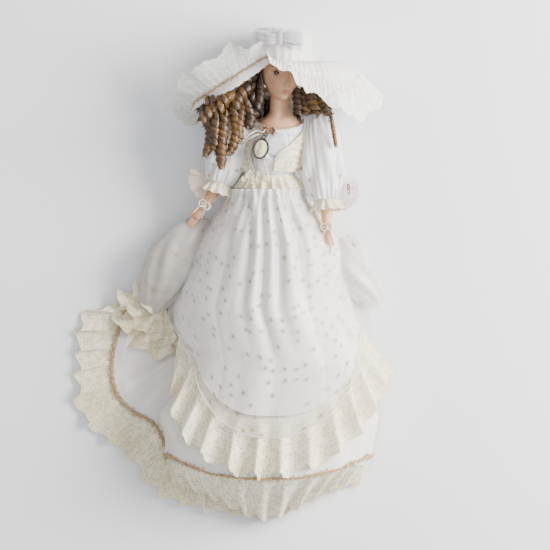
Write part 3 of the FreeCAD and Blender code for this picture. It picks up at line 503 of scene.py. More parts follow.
# A darkened tulle for the hat bow: painted shade behind the raised brim.
HAT_BOW_SHADED = organza("shaded_bow_tulle", (0.62, 0.59, 0.62), 0.62, keep=0.0)
RIBBON = satin("ribbon_satin", (0.84, 0.80, 0.74), (0.74, 0.68, 0.60))
RED = satin("red_ribbon", (0.36, 0.06, 0.05), (0.22, 0.03, 0.03))
BROWN = plain_cloth("brown_petal", (0.20, 0.10, 0.05))
CREAM = plain_cloth("cream_petal", (0.74, 0.66, 0.48))
ENAMEL = glossy("black_enamel", (0.035, 0.028, 0.024), (0.016, 0.012, 0.010), 0.22)
RESIN = glossy("cream_resin", (0.72, 0.68, 0.48), (0.60, 0.55, 0.36), 0.45)
PEARL = glossy("pearl", (0.82, 0.78, 0.72), (0.70, 0.64, 0.58), 0.18)
STEEL = glossy("armature_steel", (0.40, 0.40, 0.40), (0.30, 0.30, 0.30), 0.35)
KID = glossy("white_kid", (0.76, 0.73, 0.68), (0.66, 0.62, 0.56), 0.4)
SKIN = bisque("bisque_limbs")


def dress(piece, body, slot, *nodes):
    """Put a piece on its body, in place of the nodes named; slot is not used."""
    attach(piece, body)
    if nodes:
        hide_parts(*nodes)


# -------------------------------------------------------------------- gown

def gown_profile():
    """Middle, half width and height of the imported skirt, felt out by rays."""
    mesh = frame["nodes"]["underskirt"].data
    skin = BVHTree.FromPolygons([v.co for v in mesh.vertices], [p.vertices for p in mesh.polygons])
    low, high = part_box("underskirt")
    rows = []
    for y in np.arange(low[1] + 0.002, high[1] - 0.001, 0.003):
        sides = []
        for start, way in ((low[0] - 0.05, 1), (high[0] + 0.05, -1)):
            hit = skin.ray_cast(Vector((start, y, low[2] + 0.002)), Vector((way, 0, 0)))[0]
            sides.append(hit.x if hit else None)
        if None in sides:
            continue
        middle = (sides[0] + sides[1]) / 2
        top = skin.ray_cast(Vector((middle, y, 0.3)), Vector((0, 0, -1)))[0]
        if top:
            rows.append((y, middle, (sides[1] - sides[0]) / 2, top.z))
    table = np.array(rows)
    fine = np.arange(table[0, 0], table[-1, 0], 0.001)
    soft = [fine]
    kernel = np.hanning(23)
    kernel /= kernel.sum()
    for column in (1, 2, 3):
        values = np.interp(fine, table[:, 0], table[:, column])
        padded = np.pad(values, 11, mode="edge")
        soft.append(np.convolve(padded, kernel, "valid"))
    return np.array(soft)


PROFILE = gown_profile()
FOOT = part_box("underskirt")[0][2]
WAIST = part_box("apron_organza")[1][1]
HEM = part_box("hem_flounce")[0][1]
BRAID_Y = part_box("hem_braid")[0][1]


def gown(y, angle, lift):
    """A point on the front of the gown; angle 0 is the left side, pi the right."""
    x, half, height = (float(np.interp(y, PROFILE[0], PROFILE[k])) for k in (1, 2, 3))
    rise = math.sin(angle) ** 0.9 if math.sin(angle) > 0 else 0.0
    return Vector((x + (half + lift) * math.cos(angle), y,
                   FOOT + (height - FOOT) * rise + lift * math.sin(angle)))


def gathers(angle, down, seed):
    """Cloth height over a gathered skirt: tight pleats that open into long folds."""
    drift = 0.10 * wobble(angle * 2.2, down * 0.4, seed)
    fine = math.sin(angle * 34.0 + 5.0 * drift) * (1.0 - ease(down, 0.05, 0.36))
    wave = math.sin(angle * 6.0 + 3.0 * drift + seed)
    broad = 1.0 - 2.0 * abs(wave) ** 0.6
    slow = wobble(angle * 2.6, down * 1.3, seed + 9.0)
    side = mix(0.45, 1.0, abs(math.cos(angle)))
    amount = mix(1.3, 1.7, ease(down, 0.0, 0.35)) * mix(1.0, 0.55, ease(down, 0.4, 1.0)) * side
    return MM * (1.2 * fine - amount * broad * (0.6 + 0.8 * abs(slow)) + 2.6 * slow)


# Each long pleat from the waist: start, drift to the side, reach and depth.
CREASES = ((-0.026, 0.034, 0.55, 2.8), (-0.013, 0.012, 0.80, 3.6), (-0.004, -0.002, 0.95, 3.8),
           (0.006, -0.018, 0.80, 3.2), (0.017, -0.036, 0.60, 2.6))


def creases(x, down, middle):
    """The long deep pleats that run down from the middle of the waist."""
    depth = 0.0
    for start, drift, reach, deep in CREASES:
        line = middle + start - drift * down
        width = mix(0.0015, 0.0072, down / reach)
        strength = (1.0 - ease(down, reach * 0.35, reach)) * ease(down, 0.0, 0.05)
        offset = (x - line) / width
        depth -= deep * strength * math.exp(-offset * offset)
        beside = (x - line - 2.1 * width) / (1.3 * width)
        depth += 0.6 * deep * strength * math.exp(-beside * beside)
    return MM * depth


def apron_hem(angle, low, side, power):
    return mix(low, side, abs(math.cos(angle)) ** power)


def drape_layer(name, material, lift, low, side, power, first, last, seed):
    """One layer of the overskirt, from the waist to a curved hem."""
    across, along = 240, 130

    def point(u, v):
        angle = mix(first, last, u)
        hem = apron_hem(angle, low, side, power)
        y = mix(WAIST, hem, v)
        spot_on = gown(y, angle, lift)
        middle = float(np.interp(y, PROFILE[0], PROFILE[1]))
        height = gathers(angle, v, seed) + creases(spot_on.x, v, middle)
        edge = ease(abs(u - 0.5) * 2, 0.9, 1.0)
        height *= 1.0 - 0.6 * edge
        return gown(y, angle, lift + height)

    return Build().grid(point, across, along, (0.30, 0.24)).object(name, material), point


def edge_tube(name, material, point, radius, sides=True):
    """A rolled hem along the free edges of a draped layer."""
    along = 140
    path = []
    if sides:
        path += [point(0.0, v / along) for v in range(along // 8, along)]
    path += [point(u / 260, 1.0) for u in range(261)]
    if sides:
        path += [point(1.0, 1 - v / along) for v in range(1, along - along // 8)]
    return Build().tube(path, radius, 6).object(name, material)


def make_overskirt():
    low_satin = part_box("apron")[0][1]
    low_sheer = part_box("apron_organza")[0][1]
    satin_piece, satin_point = drape_layer(
        "apron_satin_cloth", SATIN, 5.2 * MM, low_satin - 2 * MM, low_satin + 0.085, 2.6,
        math.radians(8), math.radians(172), 3.0)
    dress(satin_piece, "torso", "satin", "apron")

    def softened(u, v):
        angle = mix(math.radians(4), math.radians(176), u)
        hem = apron_hem(angle, low_sheer - 2 * MM, low_sheer + 0.105, 2.4)
        y = mix(WAIST, hem, v)
        place = gown(y, angle, 0.0)
        middle = float(np.interp(y, PROFILE[0], PROFILE[1]))
        under = gathers(angle, v * 0.9, 3.0) + creases(place.x, v * 0.9, middle)
        puff = 2.4 * abs(wobble(angle * 4.2, v * 2.4, 21.0))
        ripple = 0.9 * math.sin(angle * 19 + 3 * wobble(angle * 2, v * 1.2, 5.0)) * ease(v, 0.25, 1)
        lift = 6.2 * MM + 0.85 * under + MM * (puff + ripple + 0.6)
        return gown(y, angle, lift)

    sheer = Build().grid(softened, 250, 150, (0.34, 0.26)).object("apron_organza_cloth", SHEER)
    dress(sheer, "torso", "organza", "apron_organza")
    hem = edge_tube("apron_rolled_hem", SATIN, softened, 0.45 * MM)
    dress(hem, "torso", "organza")
    inner = edge_tube("apron_satin_hem", SATIN, satin_point, 0.4 * MM, sides=False)
    dress(inner, "torso", "satin")


def braid_line(angle):
    """The front braid's place along the doll: lowest in the middle."""
    return BRAID_Y + 0.022 * abs(math.cos(angle)) ** 1.6 + 0.0015 * math.sin(angle * 5)


# The rolled fold at the right of the hem, as places in plan.
ROLL = tuple(Vector((x, y)) * MM for x, y in
             ((-44, -62), (-58, -92), (-64, -112), (-56, -134), (-42, -154), (-20, -170)))


def roll_height(x, y):
    """Millimetres added by the big rolled fold and the hollow inside it."""
    spot = Vector((x, y))
    best, side, share = 1.0, 1.0, 0.0
    for k in range(len(ROLL) - 1):
        run = ROLL[k + 1] - ROLL[k]
        t = min(max((spot - ROLL[k]).dot(run) / run.length_squared, 0.0), 1.0)
        away = spot - (ROLL[k] + run * t)
        if away.length < best:
            best, side = away.length, run.x * away.y - run.y * away.x
            share = (k + t) / (len(ROLL) - 1)
    strength = ease(share, 0.0, 0.2) * (1.0 - 0.8 * ease(share, 0.8, 1.0))
    ridge = math.exp(-(best / 0.0065) ** 2) * 6.0
    hollow = math.exp(-((best - 0.015) / 0.006) ** 2) * (3.0 if side > 0 else 0.6)
    beyond = math.exp(-((best - 0.027) / 0.007) ** 2) * (2.6 if side > 0 else 0.0)
    return (ridge - hollow + beyond) * strength


def make_underskirt():
    """Front satin skirt down to the braid, with heavy folds at the right side."""
    def point(u, v):
        angle = mix(0.0, math.pi, u)
        y = mix(WAIST - 2 * MM, braid_line(angle), v)
        drift = wobble(angle * 1.7, v * 1.2, 31.0)
        broad = math.sin(angle * 15 + 5 * drift)
        place = gown(y, angle, 0.0)
        lift = 1.0 + 0.8 * broad * ease(v, 0.2, 0.9) + 1.0 * abs(drift)
        lift += roll_height(place.x, place.y)
        return gown(y, angle, MM * lift)

    def petticoat_point(u, v):
        angle = mix(0.02, math.pi - 0.02, u)
        y = mix(WAIST - 22 * MM, BRAID_Y + 14 * MM, v)
        pleat = 0.7 * math.sin(angle * 46) * ease(v, 0.0, 0.2)
        return gown(y, angle, MM * (pleat - 3.6))

    petticoat = Build().grid(petticoat_point, 300, 60, (0.4, 0.25)).object("petticoat_cloth",
                                                                          COTTON)
    dress(petticoat, "torso", "calico", "petticoat")

    cloth = Build().grid(point, 260, 120, (0.42, 0.28)).object("underskirt_cloth", SATIN)
    dress(cloth, "torso", "satin", "underskirt")
    return point


def ruffle(name, material, base, away, width, waves, height, seed, scallops=0, rows=14,
           up=Vector((0, 0, 1)), steps=None, size=None, lean=0.35, close=False, lobes=0.0):
    """A gathered frill sewn along base(t), reaching out along away(t)."""
    steps = steps or max(int(waves * 12), 60)

    def point(s, t):
        start = base(s)
        out = away(s)
        lift = up(s) if callable(up) else up
        along = out.cross(lift).normalized()
        phase = 2 * math.pi * waves * s + 2.2 * wobble(s * waves * 0.35, 0.0, seed)
        swell = 0.75 + 0.6 * abs(wobble(s * waves * 0.8, 3.0, seed))
        spread = t ** 0.8
        reach = width(s) if callable(width) else width
        edge = 1.0 + lobes * math.cos(phase) * ease(t, 0.3, 1.0)
        if scallops:
            edge += 0.045 * abs(math.sin(math.pi * scallops * s)) * ease(t, 0.6, 1.0)
        wave = math.sin(phase) * swell
        shift = math.cos(phase + 0.8) * swell
        place = start + out * (reach * t * edge * (1 - 0.06 * wave * t))
        place += lift * (height * spread * (wave + 0.9) * 0.55)
        place += along * (height * lean * spread * shift)
        place.z = max(place.z, 0.6 * MM)
        return place

    piece = Build().grid(point, steps, rows, size or (0.5, 0.04), wrap=close)
    return piece.object(name, material), point


def gown_normal(y, angle):
    a = gown(y, angle, 0.0)
    b = gown(y, angle, 1 * MM)
    return (b - a).normalized()


def make_front_lace():
    """The cream lace tier under the apron and the flounce below the braid."""
    low_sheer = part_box("apron_organza")[0][1]
    first, last = math.radians(8), math.radians(166)

    def tier_base(s):
        angle = mix(first, last, s)
        return gown(apron_hem(angle, low_sheer + 16 * MM, low_sheer + 0.10, 2.4), angle, 3.0 * MM)

    def tier_away(s):
        angle = mix(first, last, s)
        y = apron_hem(angle, low_sheer + 16 * MM, low_sheer + 0.10, 2.4)
        step = gown(y - 20 * MM, angle, 2.6 * MM) - gown(y, angle, 3.0 * MM)
        fan = Vector((0.22 * math.cos(angle), 0, 0))
        return (step.normalized() + fan).normalized()

    def tier_up(s):
        angle = mix(first, last, s)
        return gown_normal(low_sheer - 20 * MM, angle)

    def tier_width(s):
        return mix(44, 52, math.sin(math.pi * s)) * MM

    tier, _ = ruffle("lace_tier_cloth", LACE, tier_base, tier_away, tier_width, 13, 11 * MM, 41.0,
                     scallops=44, rows=26, up=tier_up, size=(0.50, 0.050), lean=0.22, lobes=0.05,
                     steps=300)
    dress(tier, "torso", "lace", "lace_tier")

    def flounce_base(s):
        angle = mix(math.radians(1), math.radians(179), s)
        return gown(braid_line(angle) + 1 * MM, angle, 0.6 * MM)

    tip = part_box("hem_flounce")

    def flounce_end(s):
        angle = mix(math.radians(1), math.radians(179), s)
        x = mix(tip[1][0] - 6 * MM, tip[0][0] + 6 * MM, s)
        y = HEM + 9 * MM + 0.030 * abs(math.cos(angle)) ** 1.5
        return Vector((x, y, 3 * MM + 7 * MM * math.sin(angle)))

    def flounce_away(s):
        return (flounce_end(s) - flounce_base(s)).normalized()

    def flounce_width(s):
        return (flounce_end(s) - flounce_base(s)).length

    def flounce_up(s):
        out = flounce_away(s)
        side = (flounce_base(min(s + 0.01, 1.0)) - flounce_base(max(s - 0.01, 0.0))).normalized()
        normal = side.cross(out)
        return normal if normal.z > 0 else -normal

    flounce, _ = ruffle("hem_flounce_lace", LACE, flounce_base, flounce_away, flounce_width, 12,
                        8 * MM, 47.0, scallops=40, rows=28, up=flounce_up, size=(0.5, 0.05),
                        lean=0.0, lobes=0.05, steps=320)
    dress(flounce, "torso", "lace", "hem_flounce")

    path = []
    for i in range(301):
        angle = mix(math.radians(1), math.radians(179), i / 300)
        path.append(gown(braid_line(angle), angle, 1.4 * MM))
    braid = twisted("hem_braid_cord", BRAID, path, 1.3 * MM, 60)
    dress(braid, "torso", "braid", "hem_braid")


def twisted(name, material, path, radius, turns, loops=True):
    """Two strands twisted round each other, with small picot loops."""
    build = Build()
    count = len(path)
    for strand in (0, 1):
        points = []
        for i, p in enumerate(path):
            p = p + Vector((wobble(i * 0.35, seed=3.0), wobble(i * 0.35, seed=8.0), 0)) * radius
            ahead = (path[min(i + 1, count - 1)] - path[max(i - 1, 0)]).normalized()
            side = ahead.cross(Vector((0, 0, 1)))
            side = side.normalized() if side.length > 0.01 else Vector((1, 0, 0))
            up = side.cross(ahead)
            turn = 2 * math.pi * turns * i / count + math.pi * strand
            points.append(p + side * (radius * 0.6 * math.cos(turn))
                          + up * (radius * 0.6 * math.sin(turn)))
        build.tube(points, radius * 0.62, 6)
    if loops:
        for i in range(2, count - 2, 3):
            ahead = (path[i + 1] - path[i - 1]).normalized()
            side = ahead.cross(Vector((0, 0, 1)))
            side = side.normalized() if side.length > 0.01 else Vector((1, 0, 0))
            way = 1 if i % 2 else -1
            reach = radius * (1.7 + 1.5 * rng.random())
            lift = Vector((0, 0, radius * (0.2 + 0.5 * rng.random())))
            ring = [path[i] + ahead * (radius * 0.8 * math.cos(a))
                    + side * (way * reach * 0.5 * (1 + math.sin(a))) + lift
                    for a in (2 * math.pi * k / 7 for k in range(8))]
            build.tube(ring, radius * 0.22, 4, caps=False)
    return build.object(name, material)


# ------------------------------------------------------------------- train

def outline_of(node, count):
    """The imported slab's plan outline as points at even angles about its middle."""
    mesh = frame["nodes"][node].data
    places = np.array([v.co[:] for v in mesh.vertices])
    middle = (places.min(0) + places.max(0)) / 2
    angles = np.arctan2(places[:, 1] - middle[1], places[:, 0] - middle[0])
    reach = np.hypot(places[:, 0] - middle[0], places[:, 1] - middle[1])
    result = []
    for k in range(count):
        target = -math.pi + 2 * math.pi * k / count
        gap = np.abs((angles - target + math.pi) % (2 * math.pi) - math.pi)
        near = np.argsort(gap)[:6]
        result.append(float(reach[near].max()))
    smooth = np.array(result)
    for _ in range(3):
        smooth = (np.roll(smooth, 1) + smooth * 2 + np.roll(smooth, -1)) / 4
    return Vector((float(middle[0]), float(middle[1]), 0.0)), smooth


def make_train():
    """The satin back of the gown, its braid and the lace flounce on the floor."""
    count = 160
    middle, reach = outline_of("train", count)

    def radius_at(turn):
        place = (turn + math.pi) / (2 * math.pi) * count
        k = int(math.floor(place)) % count
        return mix(reach[k], reach[(k + 1) % count], place - math.floor(place))

    def spread(turn, share, lift):
        r = radius_at(turn) * share
        return Vector((middle.x + r * math.cos(turn), middle.y + r * math.sin(turn), lift))

    def satin_point(u, v):
        turn = -math.pi + 2 * math.pi * u
        share = mix(0.12, 0.985, v)
        drift = wobble(math.cos(turn) * 2.0, math.sin(turn) * 2.0 + v, 61.0)
        folds = math.sin(turn * 21 + 6 * drift + 3 * v)
        lift = 3.2 + 2.2 * folds * v + 2.6 * drift
        lift *= mix(1.0, 0.55, ease(v, 0.9, 1.0))
        return spread(turn, share, MM * max(lift, 0.5))

    cloth = Build().grid(satin_point, 360, 60, (0.7, 0.13), wrap=True)
    satin_piece = cloth.object("train_cloth", SATIN)
    dress(satin_piece, "torso", "satin", "train")

    first, last = math.radians(-62), math.radians(-196)
    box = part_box("train_flounce")

    def around(s):
        return mix(first, last, s)

    def lace_base(s):
        turn = around(s)
        return spread((turn + math.pi) % (2 * math.pi) - math.pi, 1.0, 2.4 * MM)

    def lace_away(s):
        turn = around(s)
        return Vector((math.cos(turn), math.sin(turn), 0.0))

    def lace_width(s):
        base = lace_base(s)
        out = lace_away(s)
        limit = 0.036
        for low, high, value, step in ((box[0][0], box[1][0], base.x, out.x),
                                       (box[0][1], box[1][1], base.y, out.y)):
            if abs(step) > 1e-6:
                room = ((high if step > 0 else low) - value) / step
                limit = min(limit, max(room, 0.004))
        return limit * mix(0.35, 1.0, ease(s, 0.0, 0.12)) * mix(1.0, 0.35, ease(s, 0.9, 1.0))

    flounce, _ = ruffle("train_flounce_lace", LACE_FINE, lace_base, lace_away, lace_width, 17,
                        7.5 * MM, 67.0, scallops=44, rows=24, size=(0.55, 0.036), lean=0.5,
                        lobes=0.07, steps=340)
    dress(flounce, "torso", "lace", "train_flounce")

    path = [lace_base(i / 260) + Vector((0, 0, 2.0 * MM)) for i in range(261)]
    braid = twisted("train_braid_cord", BRAID, path, 1.3 * MM, 56)
    dress(braid, "torso", "braid", "train_braid")


def bag(name, material, start, end, half, height, folds, seed, size):
    """A bunched bag of sheer cloth, gathered at both ends, folded along its length."""
    start, end = Vector(start) * MM, Vector(end) * MM
    ahead = (end - start).normalized()
    side = Vector((ahead.y, -ahead.x, 0.0)).normalized()

    def point(u, v):
        turn = 2 * math.pi * u
        swell = math.sin(math.pi * mix(0.04, 0.97, v)) ** 0.62
        fold = 1 + 0.13 * math.sin(turn * folds + 2.5 * wobble(v * 2, u * 3, seed)) * (1.2 - swell)
        fold += 0.22 * wobble(math.cos(turn) * 2.0 + v * 2.4, math.sin(turn) * 2.0, seed)
        bend = side * (5 * MM * math.sin(math.pi * v))
        wide = side * (half * MM * swell * fold * math.cos(turn))
        rise = Vector((0, 0, 1)) * (height * MM * swell * fold * math.sin(turn) * 0.5)
        place = start.lerp(end, v) + bend + wide + rise + Vector((0, 0, height * MM * 0.5 * swell))
        return place

    piece = Build().grid(point, 120, 60, size, wrap=True).object(name, material)
    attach(piece, "torso")
    return piece


def make_panniers():
    """Caught-up puffs of the sheer overskirt, one at each hip."""
    # The right puff takes the darkened organza: painted shade on the side away from the window lamp.
    shaded = bag("pannier_right_cloth", SHEER_SHADED, (-24, 54, 12), (-78, -34, 8), 24, 26, 6, 71.0,
               (0.10, 0.10))
    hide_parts("pannier_right")
    white = bag("pannier_left_cloth", SHEER_PUFF, (102, 36, 14), (136, -27, 8), 18, 26, 5, 73.0,
                (0.08, 0.07))
    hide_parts("pannier_left")


# Fans of the side ruffle: middle, reach, first and last angle, height.
SIDE_FANS = (((-62, -30), 40, 158, 300, 8), ((-62, -26), 29, 140, 290, 11),
             ((-60, -16), 20, 110, 262, 14), ((-56, -2), 16, 95, 240, 15))


def make_side_ruffle():
    """Fans of cream lace where the overskirt is caught up at the right."""
    for index, (middle, reach, first, last, height) in enumerate(SIDE_FANS):
        centre = Vector((*middle, height)) * MM

        def away(s, first=first, last=last):
            turn = math.radians(mix(first, last, s))
            return Vector((math.cos(turn), math.sin(turn), -0.10)).normalized()

        def base(s, centre=centre, away=away):
            return centre + away(s) * (4 * MM)

        piece, _ = ruffle("side_ruffle_fan_%d" % index, LACE_FINE, base, away, reach * MM,
                          2 + reach // 14, 10 * MM, 75.0 + 5 * index, scallops=10, rows=18,
                          size=(0.16, 0.04), lean=0.2, lobes=0.07, steps=160)
        dress(piece, "torso", "lace")
        if index == 0:
            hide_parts("side_ruffle")


# --------------------------------------------------------------------- hat

CROWN_LOW, CROWN_HIGH = (Vector(corner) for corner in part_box("hat_crown"))
HAT_X = (CROWN_LOW.x + CROWN_HIGH.x) / 2
HAT_Z = (CROWN_LOW.z + CROWN_HIGH.z) / 2
HAT_Y = CROWN_LOW.y
RING = 29 * MM

# Round the head from the back (-82) past the left (0), front (90) and right
# (180): reach and place along the doll at mid brim, at the braid, at the edge.
BRIM = curve_table((
    (-82, 30.0, -8, 30.3, -14, 30.5, -30), (-60, 33, -4, 36, -10, 39, -24),
    (-40, 40, -1, 48, -6, 56, -14), (-22, 50, 0, 64, -5, 82, -16),
    (-8, 54, 0, 71, -8, 93, -28), (4, 54, 0, 71, -9, 91, -42),
    (11, 53, 0, 68, -13, 82, -47), (18, 51, -1, 64, -18, 76, -54),
    (28, 49, -1, 59, -20, 68, -46), (38, 46, -1, 53, -17, 59, -40),
    (46, 43, -1, 48, -14, 51, -32), (54, 41, -1, 45, -12, 48, -28),
    (62, 39, -1, 44, -11, 47, -26), (72, 38, 0, 43, -8, 47, -19),
    (80, 38, 1, 43, -4, 49, -10), (88, 38, 2, 43, 0, 51, -7),
    (96, 38, 2, 43, 2, 52, -5), (102, 38, 2, 43, 4, 53, 2),
    (107, 39, 0, 44, 6, 52, 17), (114, 40, -4, 46, 4, 54, 19),
    (122, 42, -9, 47, 0, 55, 11), (130, 44, -13, 49, -4, 61, 16),
    (137, 47, -17, 52, -8, 65, 18), (143, 50, -21, 55, -12, 68, 12),
    (148, 53, -24, 58, -15, 71, 3), (154, 57, -27, 62, -19, 81, 0),
    (161, 62, -31, 67, -24, 89, -7), (169, 68, -35, 73, -29, 96, -15),
    (176, 73, -38, 78, -33, 97, -26), (182, 77, -41, 81, -36, 97, -32),
    (188, 78, -44, 82, -41, 101, -42), (195, 74, -43, 80, -44, 97, -53),
    (202, 65, -38, 72, -42, 88, -56), (212, 52, -30, 58, -36, 68, -48),
    (226, 40, -20, 43, -26, 48, -36), (242, 33, -12, 34.5, -18, 36, -28),
    (262, 30, -8, 30.3, -14, 30.5, -30)), 6)
BRAID_AT = 0.6


def brim(theta, share, lift=0.0):
    """A place on the brim: share 0 at the crown, BRAID_AT at the braid, 1 at the edge."""
    r1, y1, r2, y2, r3, y3 = (v * MM for v in BRIM(theta))
    stops = ((0.0, RING, 1 * MM), (0.38, r1, y1), (BRAID_AT, r2, y2), (1.0, r3, y3))
    for k in range(3):
        if share <= stops[k + 1][0] or k == 2:
            t = (share - stops[k][0]) / (stops[k + 1][0] - stops[k][0])
            before = stops[k - 1] if k else (-0.3, RING, 8 * MM)
            after = stops[k + 2] if k < 2 else None
            a, b, c = before, stops[k], stops[k + 1]
            d = after or tuple(2 * c[i] - b[i] for i in range(3))
            r, y = (0.5 * (2 * b[i] + (c[i] - a[i]) * t + (2 * a[i] - 5 * b[i] + 4 * c[i] - d[i])
                           * t * t + (3 * b[i] - a[i] - 3 * c[i] + d[i]) * t ** 3)
                    for i in (1, 2))
            break
    turn = math.radians(theta)
    out = Vector((math.cos(turn), 0.0, math.sin(turn)))
    place = Vector((HAT_X, HAT_Y + y, HAT_Z)) + out * r
    if lift:
        place += (out * 0.35 + Vector((0, 1, 0)) * 0.94) * lift
    place.z = max(place.z, 0.8 * MM)
    return place


def make_hat():
    """Satin brim, lace ruffle, braid, crown and tulle bow."""
    first, last = -82.0, 262.0

    def satin_point(side):
        def point(u, v):
            theta = mix(first, last, u)
            pleat = math.sin(u * 2 * math.pi * 52 + 3 * wobble(u * 22, 0, 81.0))
            strength = 0.30 + 0.5 * abs(wobble(u * 15, 2.0, 82.0))
            lift = MM * (strength * pleat * ease(v, 0.05, 0.5) + side * 0.5)
            return brim(theta, v * BRAID_AT, lift)
        return point

    cloth = Build()
    cloth.grid(satin_point(1), 520, 26, (0.6, 0.05))
    cloth.grid(satin_point(-1), 520, 26, (0.6, 0.05), offset=(0.0, 0.1))
    brim_piece = cloth.object("hat_brim_satin", SATIN_HAT)
    dress(brim_piece, "hat", "satin", "hat_brim")

    def lace_point(u, v):
        theta = mix(first, last, u)
        phase = 2 * math.pi * 24 * u + 3.0 * wobble(u * 13, 0.0, 85.0)
        swell = 0.5 + 0.9 * abs(wobble(u * 19, 1.0, 85.0))
        scallop = 0.045 * abs(math.sin(math.pi * 84 * u)) * ease(v, 0.7, 1.0)
        share = mix(BRAID_AT - 0.02, 1.0, v * (1 + scallop) * 0.97)
        sway = 1.5 * math.cos(phase + 0.9) * v * swell
        lift = MM * (2.4 * math.sin(phase) * swell * v ** 0.8)
        lift += MM * 0.7 * math.sin(u * 2 * math.pi * 90) * ease(v, 0.0, 0.1) * (1 - v)
        return brim(theta + sway, share, lift)

    ruffle_piece = Build().grid(lace_point, 900, 30, (0.95, 0.036)).object(
        "hat_ruffle_lace", LACE_HAT)
    dress(ruffle_piece, "hat", "lace", "hat_ruffle")

    low = []
    for i in range(421):
        theta = mix(first, last, i / 420)
        low.append(brim(theta, BRAID_AT, -mix(3.6, 1.2, ease(theta, 92, 106)) * MM))
    braid = twisted("hat_braid_cord", BRAID, low, 1.0 * MM, 90)
    dress(braid, "hat", "braid", "hat_braid")
    make_crown()


def make_crown():
    top = CROWN_HIGH.y
    wide = (CROWN_HIGH.x - CROWN_LOW.x) / 2

    def point(u, v):
        turn = 2 * math.pi * u
        bend = min(v * 1.25, 1.0)
        past = max(v * 1.25 - 1.0, 0.0) / 0.25
        round_off = ease(bend, 0.45, 1.0)
        r = wide * (1.0 - 0.22 * round_off) * (1 - past * 0.98)
        fold = 1 + 0.010 * math.sin(turn * 22 + 3 * wobble(u * 9, v, 91.0)) * (1 - past)
        fold += 0.03 * wobble(math.cos(turn) * 2, math.sin(turn) * 2 + v * 2, 92.0)
        y = mix(HAT_Y, top - 1 * MM, math.sin(bend * math.pi / 2)) - past * 1.0 * MM
        return Vector((HAT_X + r * fold * math.cos(turn), y, HAT_Z + r * fold * math.sin(turn)))

    crown = Build().grid(point, 220, 50, (0.18, 0.06), wrap=True).object("hat_crown_cloth",
                                                                        SATIN_HAT)
    dress(crown, "hat", "satin", "hat_crown")

    low, high = (Vector(c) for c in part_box("hat_bow"))
    middle = (low + high) / 2
    build = Build()
    for way in (-1, 1):
        for layer in range(2):
            def loop(u, v, way=way, layer=layer):
                turn = 2 * math.pi * u
                length = (high.x - low.x) / 2 * mix(1.0, 0.72, layer)
                out = (1 - math.cos(turn)) / 2
                width = mix(2.0, 6.5, math.sin(turn / 2)) * MM
                crease = math.sin(v * math.pi * 5 + layer) * 0.8 * MM * out
                x = middle.x + way * length * out
                y = middle.y + (v - 0.5) * 2 * width + 1.0 * MM * math.sin(turn) * way
                z = middle.z - 2 * MM + math.sin(turn) * 5.0 * MM + crease + layer * 1.5 * MM
                return Vector((x, y, z))
            build.grid(loop, 40, 16, (0.06, 0.014), offset=(0.1 * layer, 0.05 * way))

        def tail(u, v, way=way):
            x = middle.x + way * (4 + 16 * u) * MM
            y = middle.y - 4 * MM + (v - 0.5) * 8 * MM * (0.4 + u) - 3 * MM * u
            z = middle.z - 3 * MM + 1.5 * MM * math.sin(u * 5 + v * 4) - 2 * MM * u
            return Vector((x, y, z))
        build.grid(tail, 20, 10, (0.03, 0.01))
    knot = [middle + Vector((0, y * MM, 2.2 * MM * math.cos(y * 0.3))) for y in range(-5, 6)]
    build.tube(knot, 3.2 * MM, 10)
    # The bow takes the darkened tulle: painted shade.
    bow = build.object("hat_bow_tulle", HAT_BOW_SHADED)
    dress(bow, "hat", "tulle", "hat_bow")


# -------------------------------------------------------------- head, hair

EYE_LOW, EYE_HIGH = (Vector(c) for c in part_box("eye_left"))
CAP_LOW, CAP_HIGH = (Vector(c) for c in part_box("wig_cap"))
HEAD = Vector(((CAP_LOW.x + CAP_HIGH.x) / 2, (EYE_LOW.y + EYE_HIGH.y) / 2 - 0.8 * MM,
               CAP_LOW.z + 26.2 * MM))
HALF = Vector((20, 29, 24)) * MM
FACE_TURN = math.radians(13.0)


def bump_at(dx, dy, cx, cy, rx, ry):
    """A smooth hill over the face plane, in millimetres."""
    a, b = (dx - cx) / rx, (dy - cy) / ry
    return math.exp(-(a * a + b * b))


# How far the painted face sits below the middle of the skull.
FACE_DROP = 3.2


def face_relief(dx, dy):
    """Height in millimetres added to the oval head at a place on its face."""
    dy += FACE_DROP
    h = 0.0
    h += 5.4 * bump_at(dx, dy, 0, -9.8, 2.4, 2.8)
    h += 3.2 * bump_at(dx, dy, 0, -5.2, 1.8, 5.2)
    h += 1.1 * (bump_at(dx, dy, 2.5, -10.6, 1.5, 1.7) + bump_at(dx, dy, -2.5, -10.6, 1.5, 1.7))
    for side in (-1, 1):
        h -= 2.6 * bump_at(dx, dy, side * 8.0, 0.8, 4.6, 3.4)
        h += 1.0 * bump_at(dx, dy, side * 8.0, 6.2, 6.5, 2.6)
        h += 1.7 * bump_at(dx, dy, side * 9.6, -9.5, 5.8, 6.0)
    h += 2.2 * bump_at(dx, dy, 0, -16.0, 5.6, 2.3)
    h += 1.1 * bump_at(dx, dy, 0, -15.2, 3.3, 1.0)
    h += 1.3 * bump_at(dx, dy, 0, -17.8, 2.9, 1.2)
    h -= 1.6 * bump_at(dx, dy, 0, -16.6, 3.6, 0.45)
    h -= 1.2 * bump_at(dx, dy, 0, -20.3, 4.5, 1.4)
    h += 3.0 * bump_at(dx, dy, 0, -24.0, 5.5, 3.6)
    h -= 0.8 * bump_at(dx, dy, 0, -13.2, 1.0, 1.2)
    return h


